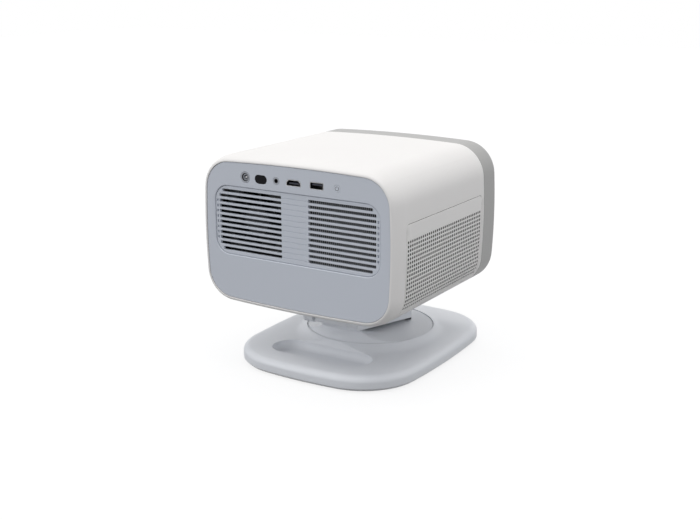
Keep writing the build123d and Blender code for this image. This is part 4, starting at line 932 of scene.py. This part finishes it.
def make_rear_grille():
    """Louvre insert: slots in two groups, grooves between them and recesses at their outer ends"""
    vents = vent_settings()
    half_height = vents.slot_height / 2
    last = vents.slot_rows - 1
    corner_cut = 3.4 * MM
    slot_corner, slot_edge = 0.5 * MM, 0.35 * MM
    recess_away, recess_half, recess_lower = 2.1 * MM, 0.85 * MM, 0.2 * MM
    recess_x, recess_height = vents.slot_outer + recess_away, half_height - recess_lower
    recess_corner, recess_depth = 0.3 * MM, 1.6 * MM
    groove_short, groove_height = 1.8 * MM, 0.3 * MM
    groove_half = vents.slot_inner - groove_short
    groove_corner, groove_depth = 0.2 * MM, 0.5 * MM
    pocket_edge = 0.12 * MM
    slots, pockets = [], []
    for row in range(vents.slot_rows):
        z = middle(GRILLE_LOW, GRILLE_HIGH, 2) + (row - last / 2) * vents.slot_pitch
        outer = vents.slot_outer - (corner_cut if row in (0, last) else 0.0)
        half_slot = (outer - vents.slot_inner) / 2
        for side in (-1, 1):
            slot = rounded_rectangle(side * (vents.slot_inner + half_slot), z, half_slot,
                                     half_height, slot_corner, 3)
            slots.append((slot, slot_edge))
            if 1 < row < last - 1:
                recess = rounded_rectangle(side * recess_x, z, recess_half, recess_height,
                                           recess_corner, 2)
                pockets.append((recess, pocket_edge, recess_depth))
        groove = rounded_rectangle(0.0, z, groove_half, groove_height, groove_corner, 2)
        pockets.append((groove, pocket_edge, groove_depth))
    thickness, outer = 2.6 * MM, (louvre_outline(0.0), 0.4 * MM)
    skin = Skin()
    plate(skin, facing_rear(GRILLE_FACE_Y), thickness, outer, slots, pockets)
    skin.finish("rear_louvre", "head", "rear_grey", "rear_grille")


def turn_socket_piece(name, profile, centre, slot, steps, *nodes, look=None, closed=False):
    """Turned piece of a socket, about an axis that looks back out of the rear panel"""
    skin = Skin()
    turn_piece(skin, profile, centre, Vector((0.0, 1.0, 0.0)), steps, closed)
    skin.finish(name, "head", slot, *nodes, look=look)


def make_round_socket(name, low, high, collar, bore, pin, node):
    """Round socket: pale collar, dark bore, and a sleeve with a centre pin where there is one"""
    centre = Vector((middle(low, high, 0), PANEL_FACE_Y, PORT_Z))
    outer = (high.x - low.x) / 2
    edge, dot = 0.25 * MM, 0.02 * MM
    collar_depth, bore_from, bore_depth, bore_end = 3 * MM, 0.3 * MM, 9 * MM, 10 * MM
    profile = [(outer - inset, -down) for inset, down in reversed(round_over(edge, 3))]
    profile += [(collar + inset, -down) for inset, down in round_over(edge, 3)]
    profile += [(collar, -collar_depth), (outer, -collar_depth)]
    turn_socket_piece(name + "_collar", profile, centre, "socket_metal", 48, node, look="collar")
    profile = [(dot, -bore_depth), (bore, -bore_depth), (bore, -bore_from), (collar, -bore_from),
               (collar, -bore_end), (dot, -bore_end)]
    turn_socket_piece(name + "_bore", profile, centre, "socket_black", 40, closed=True)
    if pin > 0:
        sleeve, sleeve_bore, sleeve_from = 2.9 * MM, 2.15 * MM, 0.9 * MM
        profile = [(sleeve - inset, -sleeve_from - down)
                   for inset, down in reversed(round_over(edge, 3))]
        profile += [(sleeve_bore, -sleeve_from), (sleeve_bore, -bore_depth), (sleeve, -bore_depth)]
        turn_socket_piece(name + "_sleeve", profile, centre, "socket_metal", 40, look="collar")
        shoulder, taper_end, tip, tip_share = 1.8 * MM, 1.4 * MM, 1.35 * MM, 0.6
        profile = [(dot, -bore_depth), (pin, -bore_depth), (pin, -shoulder),
                   (tip_share * pin, -taper_end), (dot, -tip)]
        turn_socket_piece(name + "_pin", profile, centre, "socket_metal", 20, closed=True)


def make_flat_socket(name, tongue_z, half_tongue, contacts, node):
    """Flat socket: thin folded rim, a near-black liner inside it as painted shade, tongue and its
    row of contacts
    """
    rim, wall = 0.35 * MM, 0.3 * MM
    outer, inner, cavity = (port_outlines(-inset)[name] for inset in (0.0, rim, rim + wall))
    middle_x = (min(p.x for p in outer.points) + max(p.x for p in outer.points)) / 2
    rim_length, fold_edge, edge = 9 * MM, 0.12 * MM, 0.1 * MM
    skin = Skin()
    plate(skin, facing_rear(PANEL_FACE_Y), rim_length, (outer, fold_edge), [(inner, edge)])
    skin.finish(name + "_rim", "head", "socket_metal", node)
    # The liner covers the rim's inner metal walls in near-black: painted shade inside the socket
    cavity_from, cavity_length, cavity_depth = 0.5 * MM, 8 * MM, 7 * MM
    skin = Skin()
    plate(skin, facing_rear(PANEL_FACE_Y - cavity_from), cavity_length, (inner, edge), (),
          [(cavity, edge, cavity_depth)])
    skin.finish(name + "_cavity", "head", "socket_black")
    tongue_from, tongue_length, tongue_edge = 1.4 * MM, 6 * MM, 0.15 * MM
    half_thickness, tongue_corner = 0.75 * MM, 0.2 * MM
    tongue = rounded_rectangle(middle_x, tongue_z, half_tongue, half_thickness, tongue_corner, 2)
    skin = Skin()
    plate(skin, facing_rear(PANEL_FACE_Y - tongue_from), tongue_length, (tongue, tongue_edge))
    skin.finish(name + "_tongue", "head", "socket_black", look="tongue")
    contact_from, contact_length, contact_edge = 1.8 * MM, 5 * MM, 0.02 * MM
    contact_drop, half_contact, contact_corner = 0.78 * MM, 0.06 * MM, 0.03 * MM
    pitch = 2 * half_tongue / (contacts + 1)
    contact_share = 0.28
    skin = Skin()
    for number in range(contacts):
        x = middle_x - half_tongue + pitch * (number + 1)
        contact = rounded_rectangle(x, tongue_z - contact_drop, pitch * contact_share, half_contact,
                                    contact_corner, 2)
        plate(skin, facing_rear(PANEL_FACE_Y - contact_from), contact_length,
              (contact, contact_edge))
    skin.finish(name + "_contacts", "head", "copper")


def make_sockets():
    """The four sockets in the rear panel"""
    make_round_socket("supply", JACK_LOW, JACK_HIGH, collar=3.7 * MM, bore=3.2 * MM, pin=1.0 * MM,
                      node="dc_jack")
    make_round_socket("audio", AUDIO_LOW, AUDIO_HIGH, collar=2.0 * MM, bore=1.6 * MM, pin=0.0,
                      node="audio_jack")
    make_flat_socket("video", PORT_Z - 0.5 * MM, half_tongue=5.4 * MM, contacts=9,
                     node="video_socket")
    make_flat_socket("data", PORT_Z + 0.9 * MM, half_tongue=5.2 * MM, contacts=4,
                     node="data_socket")


def make_button_mark():
    """Ring with a gap and an upright bar, printed on the power button"""
    centre_x = middle(BUTTON_LOW, BUTTON_HIGH, 0)
    place = facing_rear(PANEL_FACE_Y)
    outer, inner, proud, sunk = 1.95 * MM, 1.5 * MM, 0.03 * MM, 0.02 * MM
    steps = 28
    start, end = math.radians(128), math.radians(412)
    angles = [start + (end - start) * step / steps for step in range(steps + 1)]
    skin = Skin()
    lines = [skin.add([place(centre_x + radius * math.cos(angle), PORT_Z + radius * math.sin(angle),
                             depth) for angle in angles])
             for radius, depth in ((outer, sunk), (outer, -proud), (inner, -proud), (inner, sunk))]
    for one, other in zip(lines, lines[1:] + lines[:1]):
        skin.strip(one, other, closed=False)
    for number in (0, steps):
        skin.cap([line[number] for line in lines])
    bar_rise, half_width, half_length = 1.3 * MM, 0.23 * MM, 0.9 * MM
    corner, bar_edge = 0.1 * MM, 0.01 * MM
    bar = rounded_rectangle(centre_x, PORT_Z + bar_rise, half_width, half_length, corner, 2)
    plate(skin, lambda u, v, depth: place(u, v, depth - proud), proud + sunk, (bar, bar_edge))
    skin.finish("power_mark", "power_button", "button_grey", look="print")


# Stand

def ring_at(points, z, centre_y=0.0):
    """Horizontal ring in space from flat points, moved along Y"""
    return [Vector((p.x, p.y + centre_y, z)) for p in points]


def superellipse(half_x, half_y, power, count=128):
    """Points of a superellipse at equal steps of its angle"""
    points = []
    for number in range(count):
        angle = 2 * math.pi * number / count
        x, y = math.cos(angle), math.sin(angle)
        reach = (abs(x / half_x) ** power + abs(y / half_y) ** power) ** (-1 / power)
        points.append(Vector((reach * x, reach * y)))
    return points


def saddle_underside(y):
    """Height of the sloping underside of the head's saddle at rest"""
    return SADDLE_HEEL_Z - (SADDLE_HIGH.y - y) * math.tan(SADDLE_SLOPE)


def neck_rings(disc_radius, disc_top, knuckle):
    """Rings from the turntable's disc up to the ledge below the knuckle, clear of the saddle"""
    base_x, base_front, base_rear = 54 * MM, -28 * MM, 60 * MM
    neck_rear, waist_rear = 61.5 * MM, 57 * MM
    spread_end, disc_margin, lean, limit_end = 0.8, 0.3 * MM, 6 * MM, 0.6
    cheek_gap, saddle_gap, shoulder_top = 0.2 * MM, 0.9 * MM, 34.4 * MM
    spread_power, waist_power, flare_power, rise_power = 2, 4, 2.5, 1.05
    round_power, squarer = 2.5, 3.2
    steps = 36
    rings = []
    for step in range(steps + 1):
        share = step / steps
        spread = max(0.0, 1 - share / spread_end) ** spread_power
        half_x = knuckle + (base_x - knuckle) * spread
        front = NECK_FRONT + (base_front - NECK_FRONT) * spread
        rear = waist_rear + (base_rear - waist_rear) * (1 - share) ** waist_power
        rear += (neck_rear - waist_rear) * share ** flare_power
        power = round_power + squarer * share ** 2
        z = disc_top + (LEDGE_Z - disc_top) * share ** rise_power
        limit = disc_radius - disc_margin - lean * share
        ring = ring_at(superellipse(half_x, (rear - front) / 2, power), z, (rear + front) / 2)
        for spot in ring:
            reach = math.hypot(spot.x, spot.y)
            if reach > limit and share < limit_end:
                spot.x, spot.y = spot.x * limit / reach, spot.y * limit / reach
            if abs(spot.x) > knuckle + cheek_gap:
                spot.z = min(spot.z, saddle_underside(spot.y) - saddle_gap, shoulder_top)
        rings.append(ring)
    return rings


def make_turntable():
    """Round turntable that sweeps up into the hinge neck, with the hinge knuckle on top"""
    radius, disc_top = TABLE_HIGH.x, 21.3 * MM
    foot_edge, rim_round = 0.6 * MM, 1.4 * MM
    knuckle = 19 * MM
    steps = [(foot_edge, TABLE_LOW.z), (0.0, TABLE_LOW.z + foot_edge)]
    steps += [(inset, disc_top - down) for inset, down in reversed(round_over(rim_round, 6))]
    rings = [ring_at(superellipse(radius - inset, radius - inset, 2), z) for inset, z in steps]
    rings += neck_rings(radius - rim_round, disc_top, knuckle)
    block_rear, block_edge, block_power = 71.8 * MM, 0.5 * MM, 12
    step_low, step_high, block_drop = 0.3 * MM, 0.9 * MM, 4 * MM
    block = [(LEDGE_Z + step_low, block_rear - block_edge), (LEDGE_Z + step_high, block_rear),
             (TILT_Z - block_drop, block_rear)]
    rings += [ring_at(superellipse(knuckle, (rear - NECK_FRONT) / 2, block_power), z,
                      (rear + NECK_FRONT) / 2) for z, rear in block]
    skin = Skin()
    numbers = skin.rings(rings)
    skin.cap(numbers[0])
    skin.cap(numbers[-1])
    knob, edge, dot = TABLE_HIGH.z - TILT_Z, 0.5 * MM, 0.02 * MM
    profile = [(dot, -knuckle)]
    profile += [(knob - inset, down - knuckle) for inset, down in round_over(edge)]
    profile += [(knob - inset, knuckle - down) for inset, down in reversed(round_over(edge))]
    profile += [(dot, knuckle)]
    turn_piece(skin, profile, Vector((0.0, TILT_Y, TILT_Z)), Vector((1.0, 0.0, 0.0)))
    skin.finish("swivel_table", "turntable", "stand_white", "turntable")


def crest_height(x, y):
    """Height of the foot's top surface, flat outside and rising to the turntable"""
    size = stand_settings()
    fall_power = 2.2
    share = min(1.0, max(0.0, (math.hypot(x, y) - POCKET_RADIUS) / size.crest_width))
    return size.plateau + (size.crest - size.plateau) * (1 - share) ** fall_power


def quarter_steps(steps=12):
    """Sine and one minus cosine along a quarter turn"""
    angles = [math.pi / 2 * step / steps for step in range(steps + 1)]
    return [(math.sin(angle), 1 - math.cos(angle)) for angle in angles]


def foot_side(skin, outline, bottom, wall, slope_width):
    """Side of the foot from its underside over the undercut to the top's soft edge"""
    size = stand_settings()
    undercut, side_foot, side_top = 3 * MM, 4.5 * MM, 9.6 * MM
    chamfer_width, chamfer_height = 0.25 * MM, 0.45 * MM
    profile = [(wall, bottom), (undercut, bottom), (chamfer_width, side_foot - chamfer_height),
               (0.0, side_foot)]
    profile += [(slope_width * across, side_top + (size.plateau - side_top) * up)
                for up, across in quarter_steps()]
    skin.rings([ring_at(outline.at(inset), z) for inset, z in profile])


def foot_pocket(skin, rim, lip):
    """Round pocket for the turntable, with its lip"""
    floor_drop = 0.9 * MM
    floor_z = TABLE_LOW.z - floor_drop
    rings = [ring_at(rim.at(-inset), crest_height(POCKET_RADIUS + inset, 0.0) - down)
             for inset, down in round_over(lip)]
    skin.rings(rings + [ring_at(rim.points, floor_z)])
    skin.fill([rim.points], lambda p: Vector((p.x, p.y, floor_z)))


def finger_scoop(skin, recess, lip):
    """Finger recess: a soft lip, a bowl of quarter ellipses and a flat floor"""
    floor_z, slope, lip_drop = 7.4 * MM, 5.5 * MM, 0.07
    steps = [(-inset, lip_drop * down / lip) for inset, down in round_over(lip, 4)]
    steps += [(slope * across, lip_drop + (1 - lip_drop) * up)
              for up, across in quarter_steps()[1:]]
    top = [crest_height(p.x, p.y) for p in recess.at(-lip)]
    skin.rings([[Vector((p.x, p.y, high * (1 - drop) + floor_z * drop))
                 for p, high in zip(recess.at(inset), top)] for inset, drop in steps])
    skin.fill([recess.at(slope)], lambda p: Vector((p.x, p.y, floor_z)))


def make_foot():
    """Foot with soft edges, the rise round the turntable and the scooped finger recess"""
    size = stand_settings()
    margin, bottom, wall, slope_width = 0.05 * MM, 1.5 * MM, 6 * MM, 7.0 * MM
    outline = BulgingRectangle((FOOT_HIGH.x - FOOT_LOW.x) / 2 - margin,
                               (FOOT_HIGH.y - FOOT_LOW.y) / 2 - margin,
                               size.side_bulge, size.end_bulge, size.corner)
    outline = outline.moved(0.0, middle(FOOT_LOW, FOOT_HIGH, 1))
    pocket_lip, recess_lip, clear = 0.7 * MM, 0.5 * MM, 1.5 * MM
    rim = circle(0.0, 0.0, POCKET_RADIUS, 128)
    recess_x, recess_y, recess_half_x = 2.7 * MM, 83.2 * MM, 52 * MM
    recess_half_y, recess_corner = 17.6 * MM, 17.4 * MM
    recess = rounded_rectangle(recess_x, recess_y, recess_half_x, recess_half_y, recess_corner, 14)
    skin = Skin()
    foot_side(skin, outline, bottom, wall, slope_width)
    foot_pocket(skin, rim, pocket_lip)
    finger_scoop(skin, recess, recess_lip)
    edge_line = outline.at(slope_width)
    keep_out = recess.at(-recess_lip - clear)
    steps, crowding = 12, 1.3
    inner = []
    for step in range(1, steps):
        for end in edge_line:
            start = end.normalized() * (POCKET_RADIUS + pocket_lip)
            spot = start.lerp(end, (step / steps) ** crowding)
            if not inside_convex(spot, keep_out):
                inner.append(spot)
    skin.fill([edge_line, rim.at(-pocket_lip), recess.at(-recess_lip)],
              lambda p: Vector((p.x, p.y, crest_height(p.x, p.y))), inner)
    skin.fill([outline.at(wall)], lambda p: Vector((p.x, p.y, bottom)))
    skin.finish("stand_foot", "foot", "stand_white", "foot_shell", sharp=50.0)


def inside_convex(spot, loop):
    """Whether a point lies inside an anticlockwise convex loop"""
    for number, point in enumerate(loop):
        after = loop[(number + 1) % len(loop)]
        if (after - point).cross(spot - point) < 0:
            return False
    return True


# Stage

def make_floor():
    """Wide pale floor that is seen as white and keeps the contact shadow"""
    half = 4.0
    corners = [(-half, -half, 0.0), (half, -half, 0.0), (half, half, 0.0), (-half, half, 0.0)]
    mesh = bpy.data.meshes.new("floor")
    mesh.from_pydata(corners, [], [(0, 1, 2, 3)])
    floor = link(bpy.data.objects.new("floor", mesh))
    finish = Finish("Studio floor")
    dark, light, glow_strength = (0.19, 0.19, 0.192), (0.21, 0.21, 0.212), 0.82
    finish.set({"Base Color": finish.tint(finish.noise(3.0), dark, light), "Roughness": 0.9,
                "Specular IOR Level": 0.0})
    glow = finish.add("ShaderNodeEmission", None, {"Color": WHITE,
                                                   "Strength": finish.plain_rays() * glow_strength})
    finish.show(finish.add("ShaderNodeAddShader", None, {0: finish.surface, 1: glow}))
    mesh.materials.append(finish.material)


def make_world(scene):
    """Even pale surroundings, plain white to the camera, in reflections and through glass"""
    world = bpy.data.worlds.new("Studio")
    scene.world = world
    graph = Graph(world, "ShaderNodeOutputWorld")
    soft = graph.add("ShaderNodeBackground", None,
                     {"Color": (0.95, 0.97, 1.0, 1.0), "Strength": 0.81})
    white = graph.add("ShaderNodeBackground", None, {"Color": WHITE, "Strength": 1.0})
    graph.show(graph.add("ShaderNodeMixShader", None, {0: graph.plain_rays(), 1: soft, 2: white}))


def make_lamp(name, from_way, angle, strength, colour):
    """Distant soft lamp that shines from a direction, its apparent size an angle in degrees"""
    light = bpy.data.lights.new(name, "SUN")
    light.angle = math.radians(angle)
    light.energy = strength
    light.color = colour
    lamp = link(bpy.data.objects.new(name, light))
    lamp.matrix_world = Vector(from_way).to_track_quat("Z", "Y").to_matrix().to_4x4()


def make_lamps():
    """Broad soft light from above and a weak one from the rear on the +X side"""
    make_lamp("overhead", (0.0, 0.05, 1.0), angle=45.0, strength=0.82, colour=(1.0, 0.96, 0.91))
    make_lamp("rear_fill", (0.7, 0.55, 0.4), angle=25.0, strength=0.38, colour=(0.97, 0.98, 1.0))


def make_camera(scene):
    """Camera at the photograph's viewpoint"""
    viewpoint = Vector((-0.52353, 0.87115, 0.36407))
    azimuth, elevation, roll = (math.radians(angle) for angle in (212.14, 15.32, -0.07))
    camera = bpy.data.cameras.new("camera")
    camera.lens = 55.57
    camera.sensor_width = 36.0
    holder = link(bpy.data.objects.new("camera", camera))
    holder.matrix_world = (Matrix.Translation(viewpoint) @ Matrix.Rotation(azimuth, 4, "Z")
                           @ Matrix.Rotation(math.pi / 2 - elevation, 4, "X")
                           @ Matrix.Rotation(roll, 4, "Z"))
    scene.camera = holder
    scene.view_settings.view_transform = "Standard"


# Operators

class ProjectorPiece:
    """What all the operators share"""
    bl_options = {"REGISTER", "UNDO"}


class PROJECTOR_OT_finishes(ProjectorPiece, bpy.types.Operator):
    """Make every material and give each carried-over node its own"""
    bl_idname = "projector.finishes"
    bl_label = "Finishes"

    def execute(self, context):
        FINISHES.update(make_finishes())
        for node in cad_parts.values():
            for slot in node.material_slots:
                slot.material = FINISHES[slot.material.name.split(".")[0]]
        return {"FINISHED"}


class PROJECTOR_OT_head_sleeve(ProjectorPiece, bpy.types.Operator):
    """Make the head's sleeve"""
    bl_idname = "projector.head_sleeve"
    bl_label = "Head Sleeve"

    def execute(self, context):
        make_head_sleeve()
        return {"FINISHED"}


class PROJECTOR_OT_side_vents(ProjectorPiece, bpy.types.Operator):
    """Make the perforated side panels and the cloth behind them, near-black as painted shade in the
    holes
    """
    bl_idname = "projector.side_vents"
    bl_label = "Side Vents"

    def execute(self, context):
        for side, name in ((1, "left"), (-1, "right")):
            make_side_grille(side, "vent_" + name)
            make_cloth_with_painted_shade(side, "vent_cloth_" + name)
        return {"FINISHED"}


class PROJECTOR_OT_front_ring(ProjectorPiece, bpy.types.Operator):
    """Make the front bezel"""
    bl_idname = "projector.front_ring"
    bl_label = "Front Ring"

    def execute(self, context):
        make_front_ring()
        return {"FINISHED"}


class PROJECTOR_OT_rear(ProjectorPiece, bpy.types.Operator):
    """Make the rear panel and its louvre"""
    bl_idname = "projector.rear"
    bl_label = "Rear Panel and Louvre"

    def execute(self, context):
        make_rear_panel()
        make_rear_grille()
        return {"FINISHED"}


class PROJECTOR_OT_sockets(ProjectorPiece, bpy.types.Operator):
    """Make the sockets and the power button's mark"""
    bl_idname = "projector.sockets"
    bl_label = "Sockets and Button Mark"

    def execute(self, context):
        make_sockets()
        make_button_mark()
        return {"FINISHED"}


class PROJECTOR_OT_stand(ProjectorPiece, bpy.types.Operator):
    """Make the turntable and the foot"""
    bl_idname = "projector.stand"
    bl_label = "Turntable and Foot"

    def execute(self, context):
        make_turntable()
        make_foot()
        return {"FINISHED"}


class PROJECTOR_OT_stage(ProjectorPiece, bpy.types.Operator):
    """Set floor, lamps, world and camera"""
    bl_idname = "projector.stage"
    bl_label = "Stage"

    def execute(self, context):
        make_floor()
        make_world(context.scene)
        make_lamps()
        make_camera(context.scene)
        return {"FINISHED"}


class PROJECTOR_PT_panel(bpy.types.Panel):
    """Sizes, colours and steps of the projector"""
    bl_label = "Projector"
    bl_idname = "PROJECTOR_PT_panel"
    bl_space_type = "VIEW_3D"
    bl_region_type = "UI"
    bl_category = "Projector"

    def draw(self, context):
        scene = context.scene
        for attribute, group in GROUPS.items():
            box = self.layout.box()
            for name in group.__annotations__:
                box.prop(getattr(scene, attribute), name)
        for operator in OPERATORS:
            self.layout.operator(operator.bl_idname)


OPERATORS = (PROJECTOR_OT_finishes, PROJECTOR_OT_head_sleeve, PROJECTOR_OT_side_vents,
             PROJECTOR_OT_front_ring, PROJECTOR_OT_rear, PROJECTOR_OT_sockets, PROJECTOR_OT_stand,
             PROJECTOR_OT_stage)
GROUPS = {"projector_head": HeadSettings, "projector_vents": VentSettings,
          "projector_stand": StandSettings, "projector_colours": ColourSettings}


def register():
    for group in GROUPS.values():
        bpy.utils.register_class(group)
    for name, group in GROUPS.items():
        setattr(bpy.types.Scene, name, PointerProperty(type=group))
    for operator in OPERATORS:
        bpy.utils.register_class(operator)
    bpy.utils.register_class(PROJECTOR_PT_panel)


def unregister():
    bpy.utils.unregister_class(PROJECTOR_PT_panel)
    for operator in reversed(OPERATORS):
        bpy.utils.unregister_class(operator)
    for name in GROUPS:
        delattr(bpy.types.Scene, name)
    for group in GROUPS.values():
        bpy.utils.unregister_class(group)


def main():
    register()
    bpy.ops.projector.finishes()
    bpy.ops.projector.head_sleeve()
    bpy.ops.projector.side_vents()
    bpy.ops.projector.front_ring()
    bpy.ops.projector.rear()
    bpy.ops.projector.sockets()
    bpy.ops.projector.stand()
    bpy.ops.projector.stage()


if __name__ == "__main__":
    main()
